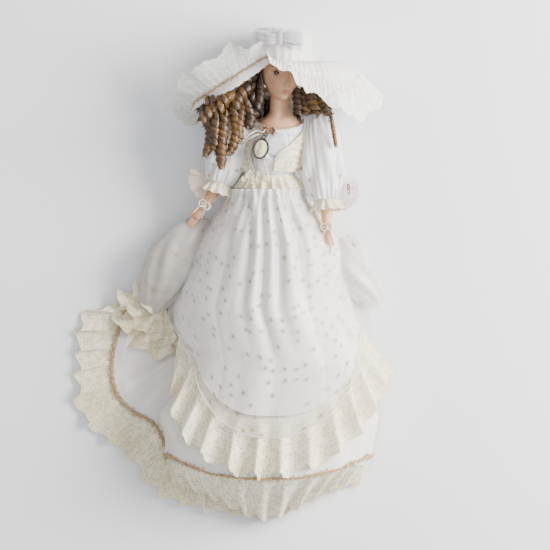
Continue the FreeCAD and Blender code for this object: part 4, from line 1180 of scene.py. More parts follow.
def head_point(u, v):
    """The skull: u round the head from the back, v from the chin to the crown."""
    lat = mix(-math.pi / 2, math.pi / 2, v)
    lon = 2 * math.pi * u
    flat = math.cos(lat)
    side = math.sin(lon) * flat
    front = -math.cos(lon) * flat
    up = math.sin(lat)
    narrow = 1.0 - 0.20 * ease(-up, 0.25, 0.95)
    x = side * HALF.x / MM * narrow
    y = up * HALF.y / MM
    z = front * HALF.z / MM
    if front > 0:
        z = mix(z, z * 0.93 + 1.0, front)
        z += face_relief(x, y) * ease(front, 0.1, 0.5)
    else:
        z *= mix(1.0, 0.86, ease(-up, 0.2, 0.8))
    turned_x = x * math.cos(FACE_TURN) + z * math.sin(FACE_TURN)
    turned_z = -x * math.sin(FACE_TURN) + z * math.cos(FACE_TURN)
    return HEAD + Vector((turned_x, y, turned_z)) * MM


def on_face(dx, dy, lift=0.0):
    """A place on the face's surface, in millimetres from the middle of the face."""
    dy -= FACE_DROP
    across = dx / (HALF.x / MM)
    up = dy / (HALF.y / MM)
    front = math.sqrt(max(1 - across * across - up * up, 0.02))
    z = front * HALF.z / MM
    z = mix(z, z * 0.93 + 1.0, front) + face_relief(dx, dy) * ease(front, 0.1, 0.5) + lift
    turned_x = dx * math.cos(FACE_TURN) + z * math.sin(FACE_TURN)
    turned_z = -dx * math.sin(FACE_TURN) + z * math.cos(FACE_TURN)
    return HEAD + Vector((turned_x, dy, turned_z)) * MM


def make_head():
    """Head, neck and shoulders in one casting, with a painted face."""
    lip_low = on_face(0, -17.6)
    lip_high = on_face(0, -15.4)
    marks = [
        (tuple(lip_high), (0.0042, 0.0012, 0.004), 0.25, (0.48, 0.15, 0.10), 0.8),
        (tuple(lip_low), (0.0034, 0.0014, 0.004), 0.25, (0.52, 0.18, 0.12), 0.8),
        (tuple(on_face(0, -16.6)), (0.0040, 0.0004, 0.004), 0.4, (0.20, 0.05, 0.04), 0.7),
    ]
    for side in (-1, 1):
        marks.append((tuple(on_face(side * 10.5, -8.5)), (0.0065, 0.0055, 0.008), 0.8,
                      (0.62, 0.23, 0.15), 0.35))
        marks.append((tuple(on_face(side * 8.0, 3.4)), (0.0058, 0.0016, 0.006), 0.6,
                      (0.30, 0.15, 0.09), 0.55))
        marks.append((tuple(on_face(side * 1.6, -11.6)), (0.0007, 0.0005, 0.002), 0.5,
                      (0.24, 0.08, 0.05), 0.8))
        for k in range(5):
            marks.append((tuple(on_face(side * (4.6 + 2.0 * k), 6.6 + 1.0 * math.sin(k * 0.75))),
                          (0.0016, 0.0005, 0.003), 0.6, (0.10, 0.045, 0.02), 0.75))
    skin = bisque("bisque_face", marks)
    build = Build().grid(head_point, 120, 110, (0.12, 0.09), wrap=True)

    plate_low, plate_high = (Vector(c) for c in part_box("shoulder_head"))
    neck_x = (plate_low.x + plate_high.x) / 2 - 1.0 * MM
    chest = 29 * MM

    def shoulders(u, v):
        turn = 2 * math.pi * u
        y = mix(HEAD.y - 19 * MM, plate_low.y, v)
        low = ease(y, 152.5 * MM, 138 * MM) if y < 152.5 * MM else 0.0
        wide = mix(9.6, 21.3, low) * MM
        deep = mix(9.4, 14.8, low) * MM
        x = mix(HEAD.x - 1.0 * MM, neck_x, v)
        z = mix(HEAD.z - 2.0 * MM, chest, ease(v, 0.0, 0.6))
        collar = 0.9 * MM * math.exp(-((v - 0.62) / 0.06) ** 2) * max(math.sin(turn), 0) ** 2
        hollow = -1.6 * MM * math.exp(-(((u - 0.25) / 0.03) ** 2 + ((v - 0.58) / 0.07) ** 2))
        return Vector((x + wide * math.cos(turn), y,
                       z + (deep + collar + hollow) * math.sin(turn)))

    build.grid(shoulders, 96, 60, (0.1, 0.06), wrap=True)
    head = build.object("shoulder_head_bisque", skin)
    dress(head, "torso", "porcelain_skin", "shoulder_head", "head_pate")
    make_eyes()


def make_eyes():
    """Glass eyes in the sockets, upper and lower lids, and real lashes."""
    for side, way in (("left", 1), ("right", -1)):
        centre = on_face(way * 8.0, 0.8, -3.4)
        look = Vector((0.10, -0.04, 0.99)).normalized()
        radius = 4.3 * MM

        def ball(u, v, centre=centre, radius=radius):
            lat = mix(-math.pi / 2, math.pi / 2, v)
            turn = 2 * math.pi * u
            return centre + Vector((math.cos(lat) * math.cos(turn), math.sin(lat),
                                    math.cos(lat) * math.sin(turn))) * radius

        material = eye_material("eye_glass_" + side, centre, look * radius)
        eye = Build().grid(ball, 40, 30, wrap=True).object("eye_ball_" + side, material)
        dress(eye, "torso", "eye_glass", "eye_" + side)

        lids = Build()
        lashes = Build()
        right = Vector((math.cos(FACE_TURN), 0, -math.sin(FACE_TURN)))
        for upper in (True, False):
            def lid(u, v, upper=upper, centre=centre):
                spread = mix(-1.0, 1.0, u)
                turn = spread * math.radians(72)
                rise = (0.46 if upper else -0.50) * math.cos(spread * math.pi / 2)
                pitch = mix(rise, (1.25 if upper else -1.2), v)
                out = (right * math.sin(turn) + look * math.cos(turn)) * math.cos(pitch)
                return centre + (out + Vector((0, 1, 0)) * math.sin(pitch)) * (radius + 0.25 * MM)

            lids.grid(lid, 24, 10, (0.01, 0.005))
            count = 22 if upper else 12
            for k in range(count):
                spread = mix(-0.85, 0.85, k / (count - 1))
                root = lid((spread + 1) / 2, 0.0)
                out = (root - centre).normalized()
                bend = Vector((0, 1.0 if upper else -0.8, 0)) + right * spread * 0.5
                length = (2.3 if upper else 1.2) * MM
                hair = [root + out * (length * 0.7 * s) + bend * (length * 0.6 * s * s)
                        for s in (0, 0.35, 0.7, 1.0)]
                lashes.tube(hair, lambda t: 0.10 * MM * (1 - 0.75 * t), 4)
        lid_piece = lids.object("eyelids_" + side, SKIN)
        lash_piece = lashes.object("lashes_" + side, ENAMEL)
        for piece, slot_name in ((lid_piece, "porcelain_skin"), (lash_piece, "hair")):
            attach(piece, "torso")


# The right fall lies to the right of this; the brim is felt for from the bust up.
RIGHT_FALL_X = 30 * MM
BUST_Y = 80 * MM
BRIM_CLEARANCE = 2 * MM


def brim_mesh():
    """Corners and faces of a plain brim surface from the crown to the free edge."""
    across = 14
    around = range(100, 241, 2)
    corners = [brim(theta, share / across, 0.0) for theta in around for share in range(across + 1)]
    faces = []
    for i in range(len(around) - 1):
        for j in range(across):
            first = i * (across + 1) + j
            faces.append((first, first + 1, first + across + 2, first + across + 1))
    return corners, faces


def under_brim(place):
    """The same place, or one just below the brim where the hair would pass it."""
    if place.x > RIGHT_FALL_X:
        return place
    hit = BRIM_SKIN.ray_cast(Vector((place.x, BUST_Y, place.z)), Vector((0, 1, 0)))[0]
    if hit and place.y > hit.y - BRIM_CLEARANCE:
        place.y = hit.y - BRIM_CLEARANCE
    return place


def ringlet(build, start, end, radius, turns, seed, sag=0.0):
    """A corkscrew curl: two flat locks of strands wound round their own axis."""
    strands = 8
    start, end = Vector(start) * MM, Vector(end) * MM
    bow = Vector((wobble(seed, 1.0, 3.0), wobble(seed, 2.0, 3.0), 0)) * 11 * MM
    bow.z += sag * MM
    axis = spline([start.lerp(end, t) + bow * math.sin(math.pi * t)
                   for t in np.linspace(0, 1, 10)], int(22 * turns) + 8)
    count = len(axis)
    lock = (axis[0] - axis[-1]).length / turns * 0.235
    spin = rng.random() * 6.28
    for strand in range(2 * strands):
        place = 2 * (strand % strands) / (strands - 1) - 1
        half_turn = math.pi * (strand // strands)
        crown = 1.0 - 0.26 * place * place
        points = []
        for i in range(count):
            t = i / (count - 1)
            ahead = (axis[min(i + 1, count - 1)] - axis[max(i - 1, 0)]).normalized()
            side = ahead.cross(Vector((0.1, 0.2, 1))).normalized()
            up = side.cross(ahead)
            turn = spin + half_turn + 2 * math.pi * turns * t
            taper = mix(0.75, 1.0, ease(t, 0.0, 0.2)) * mix(1.0, 0.72, ease(t, 0.75, 1.0))
            r = radius * MM * crown * taper * (1 + 0.16 * wobble(t * 7, seed, 5.0))
            r *= 1 + 0.12 * wobble(t * 10 + strand * 2.0, seed, 6.0)
            place_now = (axis[i] + side * (r * math.cos(turn)) + up * (r * math.sin(turn))
                         + ahead * (place * lock))
            points.append(under_brim(place_now))
        thick = lock / strands * 1.35
        build.tube(points, lambda t, k=thick: k * mix(1.0, 0.5, ease(t, 0.85, 1.0)), 5)


# Curls as start, end and radius in millimetres: the full fall at the right.
CURLS_RIGHT = (
    ((20, 184, 50), (-4, 168, 50), 6.2), ((18, 176, 54), (2, 150, 54), 6.0),
    ((22, 170, 50), (12, 146, 52), 5.8), ((16, 180, 40), (-16, 166, 42), 6.5),
    ((4, 172, 52), (-22, 158, 48), 6.5), ((0, 166, 56), (-14, 144, 56), 6.0),
    ((-8, 162, 46), (-30, 150, 40), 6.6), ((-12, 158, 52), (-28, 140, 52), 6.2),
    ((-16, 160, 34), (-30, 158, 26), 6.0), ((-22, 144, 54), (-24, 110, 54), 4.6),
    ((-14, 146, 57), (-16, 116, 57), 4.9), ((-6, 150, 58), (-9, 99, 56), 5.0),
    ((2, 152, 57), (-2, 112, 57), 4.6), ((9, 152, 56), (7, 122, 58), 4.4),
    ((-12, 142, 50), (-13, 112, 50), 4.4), ((14, 158, 54), (15, 136, 56), 4.6),
    ((25, 178, 46), (22, 150, 48), 5.0), ((27, 166, 40), (20, 146, 44), 5.0),
    ((10, 170, 30), (-10, 152, 26), 6.5), ((20, 168, 22), (4, 150, 18), 6.5),
    ((6, 178, 46), (-20, 172, 44), 5.5), ((-6, 154, 40), (-22, 148, 40), 5.5))
CURLS_LEFT = (
    ((60, 176, 44), (62, 148, 47), 5.2), ((66, 174, 44), (69, 149, 49), 5.4),
    ((72, 172, 40), (76, 148, 47), 5.6), ((70, 168, 50), (80, 150, 52), 5.0),
    ((68, 170, 30), (74, 150, 30), 5.8), ((78, 164, 34), (84, 150, 38), 5.0),
    ((80, 160, 50), (90, 156, 53), 3.2), ((84, 152, 53), (93, 149, 54), 2.8),
    ((91, 148, 54), (96, 118, 54), 2.0))
CURLS_BACK = tuple(
    ((24 + 9 * k, 164, 9), (23 + 9 * k, 122 + 3 * (k % 2), 5), 3.6) for k in range(6))


def make_hair():
    """Ringlets in three falls and a combed cap under the hat."""
    for label, curls, turns_per in (("right", CURLS_RIGHT, 11.0), ("left", CURLS_LEFT, 9.5),
                                    ("back", CURLS_BACK, 10.0)):
        build = Build()
        for index, (start, end, radius) in enumerate(curls):
            length = (Vector(start) - Vector(end)).length
            turns = max(length / turns_per / (radius / 5.0) ** 0.5, 1.6)
            ringlet(build, start, end, radius, turns, index * 3.7 + len(label), sag=1.5)
        piece = build.object("curls_" + label, HAIR)
        dress(piece, "torso", "hair", "ringlets_" + label)

    build = Build()
    half = (CAP_HIGH - CAP_LOW) / 2
    middle = (CAP_HIGH + CAP_LOW) / 2
    for k in range(150):
        turn = math.radians(mix(148, 392, k / 149))
        points = []
        for i in range(22):
            t = i / 21
            lat = mix(1.45, -0.55, t) + 0.05 * wobble(k * 0.3, t * 3, 7.0)
            swing = turn + 0.10 * math.sin(t * 5 + k * 0.12)
            reach = 1.02 + 0.03 * wobble(k * 0.7, t * 4, 11.0)
            points.append(Vector((middle.x + half.x * reach * math.cos(lat) * math.cos(swing),
                                  HEAD.y + 32.5 * MM * reach * math.sin(lat),
                                  HEAD.z + 26 * MM * reach * math.cos(lat) * math.sin(swing))))
        build.tube(points, 0.75 * MM, 5)
    cap = build.object("combed_hair", HAIR)
    dress(cap, "torso", "hair")


# ------------------------------------------------------------------ bodice

BODICE_LOW, BODICE_HIGH = (Vector(c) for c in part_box("bodice"))


def bodice_profile():
    mesh = frame["nodes"]["bodice"].data
    places = np.array([v.co[:] for v in mesh.vertices])
    rows = []
    for y in np.unique(np.round(places[:, 1], 4)):
        ring = places[np.abs(places[:, 1] - y) < 3e-4]
        if len(ring) > 12:
            low, high = ring.min(0), ring.max(0)
            rows.append((y, (low[0] + high[0]) / 2, (high[0] - low[0]) / 2,
                         (low[2] + high[2]) / 2, (high[2] - low[2]) / 2))
    return np.array(rows)


BODICE = bodice_profile()


def bodice_at(y, angle, lift=0.0):
    x, wide, z, deep = (float(np.interp(y, BODICE[:, 0], BODICE[:, k])) for k in (1, 2, 3, 4))
    return Vector((x + (wide + lift) * math.cos(angle), y, z + (deep + lift) * math.sin(angle)))


def neckline(angle):
    """The bodice's top edge: a scoop in front, higher on the shoulders."""
    front = max(math.sin(angle), 0.0)
    return BODICE_HIGH.y + 6 * MM - 9 * MM * front ** 1.5


def make_bodice():
    def point(u, v):
        angle = 2 * math.pi * u
        y = mix(neckline(angle), BODICE_LOW.y - 2 * MM, v)
        bust = 2.2 * MM * math.exp(-((v - 0.38) / 0.2) ** 2) * (
            math.exp(-((angle - 1.15) / 0.35) ** 2) + math.exp(-((angle - 1.99) / 0.35) ** 2))
        crease = MM * 0.7 * wobble(angle * 3, v * 6, 101.0) * ease(v, 0.05, 0.3)
        gather = MM * 0.6 * math.sin(angle * 30) * ease(v, 0.7, 1.0)
        over = min(y, BODICE_HIGH.y)
        place = bodice_at(over, angle, 0.2 * MM + bust + crease + gather)
        place.y = y
        return place

    bodice = Build().grid(point, 160, 70, (0.16, 0.055), wrap=True).object("bodice_cloth",
                                                                          SATIN_BODICE)
    dress(bodice, "torso", "satin", "bodice")
    edge = [point(k / 160, 0.0) for k in range(161)]
    piping = Build().tube(edge, 0.7 * MM, 6).object("neck_piping", PIPING)
    dress(piping, "torso", "braid")
    make_lapels()
    make_waist()
    make_clasp_and_ribbon()


# Place along the doll in millimetres, then the angles of the lapel's two edges.
LAPELS = {
    "left": ((148, 26, -6), (140, 28, -4), (130, 45, 0), (120, 68, 4), (112, 84, 8),
             (104, 86, 16), (96, 84, 34)),
    "right": ((148, 26, -6), (136, 30, 0), (124, 33, 4), (112, 35, 8), (104, 44, 14),
              (96, 56, 26)),
}


def make_lapels():
    """Gathered lace falling from each shoulder to the waist, with a beaded edge."""
    for side, mirror in (("left", False), ("right", True)):
        rows = LAPELS[side]
        run = curve_table(tuple((-y, inner, outer) for y, inner, outer in rows), 2)

        def at(s, share, lift, mirror=mirror, rows=rows, run=run):
            y = mix(rows[0][0], rows[-1][0], s)
            inner, outer = run(-y)
            angle = mix(inner, outer, share)
            if mirror:
                angle = 180 - angle
            lift += 8 * MM * (1 - ease(s, 0.0, 0.3))
            place = bodice_at(min(y * MM, BODICE_HIGH.y), math.radians(angle), lift)
            place.y = y * MM
            return place

        def cloth(u, v, at=at):
            pleat = math.sin(u * 2 * math.pi * 9 + 2 * wobble(u * 6, 0, 111.0))
            lift = MM * (2.2 + 1.3 * pleat * v + 3.2 * v)
            return at(u, v, lift)

        piece = Build().grid(cloth, 120, 20, (0.06, 0.02)).object("lapel_lace_" + side,
                                                                 LACE_FINE)
        dress(piece, "torso", "lace", "lapel_" + side)
        beads = Build()
        path = [at(i / 60, 0.0, 3.0 * MM) for i in range(61)]
        beads.tube(path, 0.35 * MM, 5)
        for i in range(0, 61, 2):
            centre = path[i]
            bead = [centre + Vector((0, 0, z * 0.25 * MM)) for z in (-2, -1, 0, 1, 2)]
            beads.tube(bead, lambda t: 0.55 * MM * math.sin(math.pi * mix(0.1, 0.9, t)), 6)
        bead_piece = beads.object("lapel_beads_" + side, GOLD)
        dress(bead_piece, "torso", "braid")
        outer_path = [at(i / 60, 1.04, 5.6 * MM) for i in range(61)]
        cord = twisted("lapel_piping_" + side, PIPING, outer_path, 0.7 * MM, 18, loops=False)
        dress(cord, "torso", "braid")


def make_waist():
    """The ruffled lace at the waist with its cream flowers."""
    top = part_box("waist_lace")[1][1]

    def base(s):
        angle = mix(math.radians(4), math.radians(176), s)
        return bodice_at(top - 4 * MM, angle, 1.8 * MM)

    def away(s):
        angle = mix(math.radians(4), math.radians(176), s)
        return Vector((0.45 * math.cos(angle), -1.0, 0.18)).normalized()

    def outward(s):
        angle = mix(math.radians(4), math.radians(176), s)
        return Vector((math.cos(angle), 0, math.sin(angle)))

    lace_piece, _ = ruffle("waist_frill", LACE_FINE, base, away, 13 * MM, 11, 3.4 * MM, 121.0,
                           scallops=24, rows=12, up=outward, size=(0.14, 0.013))
    dress(lace_piece, "torso", "lace", "waist_lace")

    build = Build()
    low, high = (Vector(c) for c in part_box("waist_flowers"))
    middle = (low + high) / 2
    for k in range(7):
        turn = 2.4 * k
        reach = 0.0 if k == 0 else mix(4.0, 9.0, rng.random())
        centre = middle + Vector((math.cos(turn) * reach * 1.2, math.sin(turn) * reach * 0.7,
                                  0.6 * rng.random())) * MM
        flower(build, centre, mix(2.4, 3.6, rng.random()) * MM, 5, turn)
    flowers = build.object("waist_posy", CREAM)
    dress(flowers, "torso", "cream_flower", "waist_flowers")


def flower(build, centre, radius, petals, spin):
    """Cupped petals round a small middle."""
    for k in range(petals):
        turn = spin + 2 * math.pi * k / petals

        def petal(u, v, turn=turn):
            width = math.sin(math.pi * mix(0.12, 0.95, v)) * radius * 0.55
            out = Vector((math.cos(turn), math.sin(turn), 0))
            side = Vector((-math.sin(turn), math.cos(turn), 0))
            cup = radius * (0.35 * v + 0.25 * (2 * u - 1) ** 2 * math.sin(math.pi * v))
            return centre + out * (radius * v) + side * (width * (2 * u - 1)) + Vector((0, 0, cup))

        build.grid(petal, 8, 8, (0.004, 0.004))
    dome = [centre + Vector((0, 0, z * radius * 0.2)) for z in (0, 1, 2, 2.6)]
    build.tube(dome, lambda t: radius * 0.24 * math.cos(t * 1.3), 8)


def make_clasp_and_ribbon():
    low, high = (Vector(c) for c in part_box("flower_clasp"))
    middle = (low + high) / 2
    middle.y -= 3 * MM
    middle.z = low.z
    build = Build()
    flower(build, middle + Vector((-3.2, 0, 0)) * MM, 4.4 * MM, 5, 0.4)
    flower(build, middle + Vector((4.2, -0.6, 0.2)) * MM, 4.0 * MM, 5, 1.3)
    for k in range(5):
        start = middle + Vector((-6 + 3.5 * k, -2, 0)) * MM
        twig = [start + Vector((0.6 * s * (k - 2), -1.4 * s, 0.3 * s)) * MM for s in range(5)]
        build.tube(twig, lambda t: 0.55 * MM * (1.1 - t), 5)
    clasp = build.object("clasp_flowers", BROWN)
    dress(clasp, "torso", "flower", "flower_clasp")

    low, high = (Vector(c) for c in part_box("neck_ribbon"))
    knot = Vector((high.x - 2 * MM, (low.y + high.y) / 2 + 2.5 * MM, high.z - 2 * MM))
    ribbon = Build()
    for route in (((-17, -6, -2.5), (-12, -1.5, 0.5), (-6, 1.5, 1), (0, 0, 0.5)),
                  ((-19, -11, -5), (-14, -6, -1), (-7, -2.5, 0.6), (0, 0, 0)),
                  ((4, 3.5, 0), (2, 2, 0.6), (0, 0, 0.4), (-1.5, -3, -0.2))):
        path = spline([knot + Vector(p) * MM for p in route], 24)
        ribbon.tube(path, 0.95 * MM, 6, flat=0.3)
    piece = ribbon.object("neck_ribbon_bow", RIBBON)
    dress(piece, "torso", "ribbon", "neck_ribbon")

    low, high = (Vector(c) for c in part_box("bodice_string"))
    start = Vector(((low.x + high.x) / 2, high.y, high.z))
    path = spline([start, start + Vector((2.2, -6, 0.4)) * MM, start + Vector((3.4, -11, 0.8)) * MM,
                   start + Vector((4.2, -15, 0.2)) * MM, start + Vector((4.6, -19, -1)) * MM], 60)
    string = twisted("bodice_lacing", RIBBON, path, 0.8 * MM, 9, loops=False)
    dress(string, "torso", "ribbon", "bodice_string")


def make_cameo():
    """A moulded spray on the stone and a corded rim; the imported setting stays."""
    low, high = (Vector(c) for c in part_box("cameo_stone"))
    middle = (low + high) / 2
    tilt = math.radians(-15.0)

    def place(dx, dy, z):
        return Vector((middle.x + dx * math.cos(tilt) - dy * math.sin(tilt),
                       middle.y + dx * math.sin(tilt) + dy * math.cos(tilt), z))

    def dome(u, v):
        turn = 2 * math.pi * u
        r = 1 - v
        a, b = 6.2 * MM * r * math.cos(turn), 8.45 * MM * r * math.sin(turn)
        rise = 1.9 * MM * math.sqrt(max(1 - r * r, 0))
        return place(a, b, high.z - 1.9 * MM + rise)

    build = Build().grid(dome, 64, 20, wrap=True)
    for k in range(6):
        reach = mix(-4.8, 4.2, k / 5)
        for side in (-1, 1):
            base = place(0.25 * side * MM, reach * MM, high.z + 0.25 * MM)
            tip = place(side * mix(2.4, 1.2, k / 5) * MM, (reach + 1.9) * MM, high.z + 0.05 * MM)
            path = [base.lerp(tip, t) + Vector((0, 0, 0.25 * MM * math.sin(math.pi * t)))
                    for t in (0, 0.25, 0.5, 0.75, 1)]
            build.tube(path, lambda t: 0.62 * MM * math.sin(math.pi * mix(0.12, 0.95, t)), 6,
                       flat=0.6)
    stem = [place(0.3 * math.sin(y) * MM, y * MM, high.z + 0.2 * MM) for y in
            (-6, -4, -2, 0, 2, 4, 5.5)]
    build.tube(spline(stem, 24), 0.34 * MM, 6)
    stone = build.object("cameo_moulding", RESIN)
    dress(stone, "cameo", "cameo_resin", "cameo_stone")
    rim = [place(6.75 * MM * math.cos(t), 9.05 * MM * math.sin(t), high.z - 0.7 * MM)
           for t in (2 * math.pi * k / 120 for k in range(121))]
    cord = twisted("cameo_rim", ENAMEL, rim, 0.75 * MM, 40, loops=False)
    dress(cord, "cameo", "cameo_metal")


# -------------------------------------------------------------------- arms

JOINTS = {joint["name"]: joint for joint in frame["joints"]}


def joint_at(name):
    return Vector(JOINTS[name]["pos_m"])


def frame_along(ahead):
    ahead = ahead.normalized()
    side = ahead.cross(Vector((0, 0, 1))).normalized()
    return ahead, side, side.cross(ahead)


def make_sleeve(side, outer, bulge, shift):
    """A puffed sleeve, gathered at the armhole and into the cuff."""
    shoulder = joint_at(side + "_shoulder")
    elbow = joint_at(side + "_elbow")
    ahead, across, up = frame_along(elbow - shoulder)
    length = (elbow - shoulder).length

    def point(u, v):
        turn = 2 * math.pi * u
        t = mix(-0.10, 0.96, v)
        puff = math.sin(math.pi * mix(0.06, 0.97, v) ** 1.22) ** 0.62
        r = mix(10.5 * MM, bulge, puff)
        fine = math.sin(turn * 22 + 4 * wobble(u * 7, v * 2, 131.0))
        fold = MM * (0.9 * fine * (1.25 - puff) + 3.6 * wobble(math.cos(turn) * 1.9,
                     math.sin(turn) * 1.9 + v * 2.6, 133.0) + 0.5 * math.sin(turn * 9 + v * 4))
        centre = shoulder + ahead * (length * t) + shift * puff
        wide = (r + fold)
        return centre + across * (wide * math.cos(turn)) + up * (wide * 0.92 * math.sin(turn))

    cloth = Build().grid(point, 150, 70, (0.15, 0.09), wrap=True).object(
        "sleeve_cloth_" + side, outer)
    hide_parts("sleeve_" + side)
    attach(cloth, side + "_arm")

    def base(s):
        turn = 2 * math.pi * s
        return shoulder + ahead * (length * 0.95) + (across * math.cos(turn)
                                                     + up * math.sin(turn)) * (9.5 * MM)

    def away(s):
        turn = 2 * math.pi * s
        return (ahead * 0.9 + (across * math.cos(turn) + up * math.sin(turn)) * 0.45).normalized()

    def outward(s):
        turn = 2 * math.pi * s
        return across * math.cos(turn) + up * math.sin(turn)

    cuff, _ = ruffle("cuff_lace_" + side, LACE_FINE, base, away, 12 * MM, 12, 2.8 * MM, 141.0,
                     scallops=26, rows=12, up=outward, size=(0.12, 0.012), close=True, steps=156)
    dress(cuff, side + "_arm", "lace", "sleeve_cuff_" + side)
    return shoulder, ahead, length


def make_frill(side, material, centre, out, up, width, fan, seed):
    """A fan of soft tulle that stands out beside the cuff."""
    along = out.cross(up).normalized()

    def base(s):
        turn = mix(-fan, fan, s)
        return centre + (out * math.cos(turn) + along * math.sin(turn)) * (4 * MM)

    def away(s):
        turn = mix(-fan, fan, s)
        return out * math.cos(turn) + along * math.sin(turn)

    piece, _ = ruffle("tulle_frill_" + side, material, base, away, width, 7, 5 * MM, seed,
                      rows=10, up=up, size=(0.08, 0.02))
    dress(piece, side + "_arm", "tulle")


def make_forearm(side, thumb):
    """Bisque forearm and a hand with separate fingers, joined by remeshing."""
    elbow = joint_at(side + "_elbow")
    low, high = (Vector(c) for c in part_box("forearm_" + side))
    far = Vector((low.x if side == "right" else high.x - 5 * MM, low.y, high.z - 4 * MM))
    if side == "left":
        far = Vector((high.x - 6.4 * MM, low.y + 1 * MM, high.z - 5 * MM))
    else:
        far = Vector((low.x + 3 * MM, low.y + 3 * MM, high.z - 4.5 * MM))
    ahead, across, up = frame_along(far - elbow)
    reach = (far - elbow).length
    build = Build()

    def at(a, b, c):
        return elbow + ahead * (reach * a) + across * (b * MM) + up * (c * MM)

    arm = spline([at(-0.02, 0, 0), at(0.2, 0, 0.6), at(0.4, 0, 0.4), at(0.55, 0, 0)], 24)
    build.tube(arm, lambda t: mix(6.4, 3.9, t ** 0.9) * MM, 16)
    palm = [at(0.5, 0, 0), at(0.6, 0.2, 0), at(0.7, 0.3, -0.2), at(0.76, 0.3, -0.4)]
    build.tube(spline(palm, 14), lambda t: (3.6 + 1.5 * math.sin(math.pi * t * 0.75)) * MM, 14,
               flat=0.62)
    for k in range(4):
        spread = (k - 1.5) * 1.9
        curl = -1.2 - 0.9 * k * 0.4
        long = 0.26 - 0.02 * abs(k - 1.3)
        finger = [at(0.72, spread * 0.9, -0.2), at(0.72 + long * 0.4, spread, 0.1),
                  at(0.72 + long * 0.75, spread * 1.05, curl * 0.5),
                  at(0.72 + long, spread * 1.05, curl)]
        build.tube(spline(finger, 14), lambda t: mix(1.15, 0.72, t) * MM, 9)
    finger = [at(0.60, 3.2 * thumb, 0), at(0.68, 5.0 * thumb, -0.4), at(0.78, 5.9 * thumb, -1.0)]
    build.tube(spline(finger, 12), lambda t: mix(1.4, 0.85, t) * MM, 9)
    piece = build.object("forearm_bisque_" + side, SKIN)
    fuse = piece.modifiers.new("fuse", "REMESH")
    fuse.mode = "VOXEL"
    fuse.voxel_size = 0.45 * MM
    fuse.use_smooth_shade = True
    even = piece.modifiers.new("even", "SMOOTH")
    even.iterations = 3
    apply_modifiers(piece)
    dress(piece, side + "_forearm", "porcelain_skin", "forearm_" + side)

    build = Build()
    wrist = at(0.46, 0, 4.2)
    ring = [at(0.46, 4.9 * math.cos(t), 4.7 * math.sin(t))
            for t in (2 * math.pi * k / 40 for k in range(41))]
    build.tube(ring, 1.0 * MM, 6, flat=0.6)
    for way in (-1, 1):
        loop = [wrist + across * (way * 5.5 * MM * math.sin(t) ** 2)
                + ahead * (3.2 * MM * math.sin(2 * t)) + up * (1.0 * MM + 1.0 * MM * math.sin(t))
                for t in (math.pi * k / 24 for k in range(25))]
        build.tube(loop, 1.1 * MM, 6, flat=0.35)
        tail = spline([wrist, wrist + across * (way * 3 * MM) + ahead * (5 * MM),
                       wrist + across * (way * 4.5 * MM) + ahead * (12 * MM) - up * (1 * MM)], 20)
        build.tube(tail, 0.9 * MM, 6, flat=0.35)
    bow = build.object("wrist_bow_" + side, RIBBON)
    dress(bow, side + "_forearm", "ribbon", "wrist_ribbon_" + side)


def apply_modifiers(obj):
    """Turn a piece's modifiers into its mesh."""
    graph = bpy.context.evaluated_depsgraph_get()
    graph.update()
    mesh = bpy.data.meshes.new_from_object(obj.evaluated_get(graph), depsgraph=graph)
    obj.modifiers.clear()
    obj.data = mesh
    mesh.polygons.foreach_set("use_smooth", [True] * len(mesh.polygons))


def make_arms():
    shoulder, ahead, length = make_sleeve("left", SLEEVE_CLOTH, 20.5 * MM,
                                          Vector((-1.5, 0, 2)) * MM)
    make_frill("left", PINK, shoulder + ahead * (length * 0.86) + Vector((12, 0, 4)) * MM,
               Vector((0.95, -0.2, 0.1)).normalized(), Vector((0, 0, 1)), 14 * MM, 1.1, 151.0)
    bow = Build()
    knot = shoulder + ahead * (length * 0.86) + Vector((21, 2, 9)) * MM
    for way in (-1, 1):
        loop = [knot + Vector((1.0 * math.sin(2 * t), way * 4.6 * math.sin(t) ** 2,
                               0.8 * math.sin(t))) * MM
                for t in (math.pi * k / 20 for k in range(21))]
        bow.tube(loop, 0.8 * MM, 6, flat=0.4)
    piece = bow.object("cuff_bow_left", RED)
    dress(piece, "left_arm", "ribbon")
    shoulder, ahead, length = make_sleeve("right", SLEEVE_CLOTH, 16.5 * MM,
                                          Vector((-1, 0, 1)) * MM)
    # The right frill takes the browner copy of the pink tulle: painted shade.
    make_frill("right", PINK_SHADED, shoulder + ahead * (length * 0.9) + Vector((-8, 0, 2)) * MM,
               Vector((-0.8, -0.6, 0.1)).normalized(), Vector((0, 0, 1)), 17 * MM, 1.2, 153.0)
    make_forearm("left", -1)
    make_forearm("right", 1)


# -------------------------------------------------------- the CAD's own pieces

def dress_cad_pieces():
    """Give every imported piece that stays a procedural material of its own."""
    finishes = {
        "calico": CALICO, "porcelain_skin": SKIN, "pearl": PEARL, "cameo_metal": ENAMEL,
        "wire": STEEL, "shoe": KID,
    }
    under_hair = plain_cloth("wig_net", (0.07, 0.035, 0.014))
    slots = {part["node"]: part["material_slot"] for part in frame["record"]["subparts"]}
    for name, obj in frame["nodes"].items():
        material = finishes.get(slots[name], COTTON)
        if name in ("petticoat", "bloomer_left", "bloomer_right"):
            material = COTTON
        elif name == "wig_cap":
            material = under_hair
        for slot in obj.material_slots:
            slot.material = material


# -------------------------------------------------------------------- stage

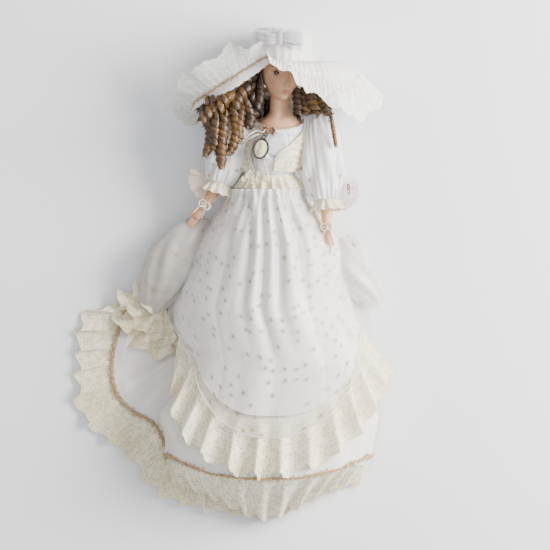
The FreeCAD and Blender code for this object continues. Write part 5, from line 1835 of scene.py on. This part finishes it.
def make_stage():
    material, tree, shader = nodes_of("pale_surface")
    place = coordinates(tree, "Object")
    tone = blend_colour(tree, noise_of(tree, place, 3.0), (0.86, 0.87, 0.88), (0.90, 0.90, 0.90))
    tree.links.new(tone, shader.inputs["Base Color"])
    shader.inputs["Roughness"].default_value = 0.85

    def flat(u, v):
        return Vector((mix(-3, 3, u), mix(-3, 3, v), -0.4 * MM))

    floor = Build().grid(flat, 8, 8).object("floor", material)

    def lamp(name, location, size, power, colour):
        data = bpy.data.lights.new(name, "AREA")
        data.shape = "RECTANGLE"
        data.size, data.size_y = size
        data.energy = power
        data.color = colour
        obj = bpy.data.objects.new(name, data)
        obj.location = location
        aim = Vector((0.03, 0.0, 0.03)) - Vector(location)
        obj.rotation_euler = aim.to_track_quat("-Z", "Y").to_euler()
        bpy.context.scene.collection.objects.link(obj)

    lamp("window", (1.25, 0.35, 0.75), (0.9, 0.8), 80.0, (1.0, 0.985, 0.96))
    lamp("overhead", (-0.1, -0.3, 1.7), (1.6, 1.6), 9.0, (0.95, 0.97, 1.0))
    world = bpy.data.worlds.new("soft_room")
    world.use_nodes = True
    background = world.node_tree.nodes["Background"]
    background.inputs[0].default_value = (0.93, 0.95, 1.0, 1.0)
    background.inputs[1].default_value = 0.75
    bpy.context.scene.world = world


def make_camera():
    """Straight above the doll, head at the top of the picture."""
    data = bpy.data.cameras.new("camera")
    data.sensor_width = 36.0
    height = 12.0
    view_width = 0.506
    data.lens = data.sensor_width * (height - 0.03) / view_width
    camera = bpy.data.objects.new("camera", data)
    camera.location = (0.040, 0.001, height)
    camera.rotation_euler = (0.0, 0.0, 0.0)
    bpy.context.scene.collection.objects.link(camera)
    bpy.context.scene.camera = camera


make_camera()
make_stage()
dress_cad_pieces()
make_overskirt()
make_underskirt()
make_front_lace()
make_train()
make_panniers()
make_side_ruffle()
make_hat()
BRIM_SKIN = BVHTree.FromPolygons(*brim_mesh())
make_head()
make_hair()
make_bodice()
make_cameo()
make_arms()
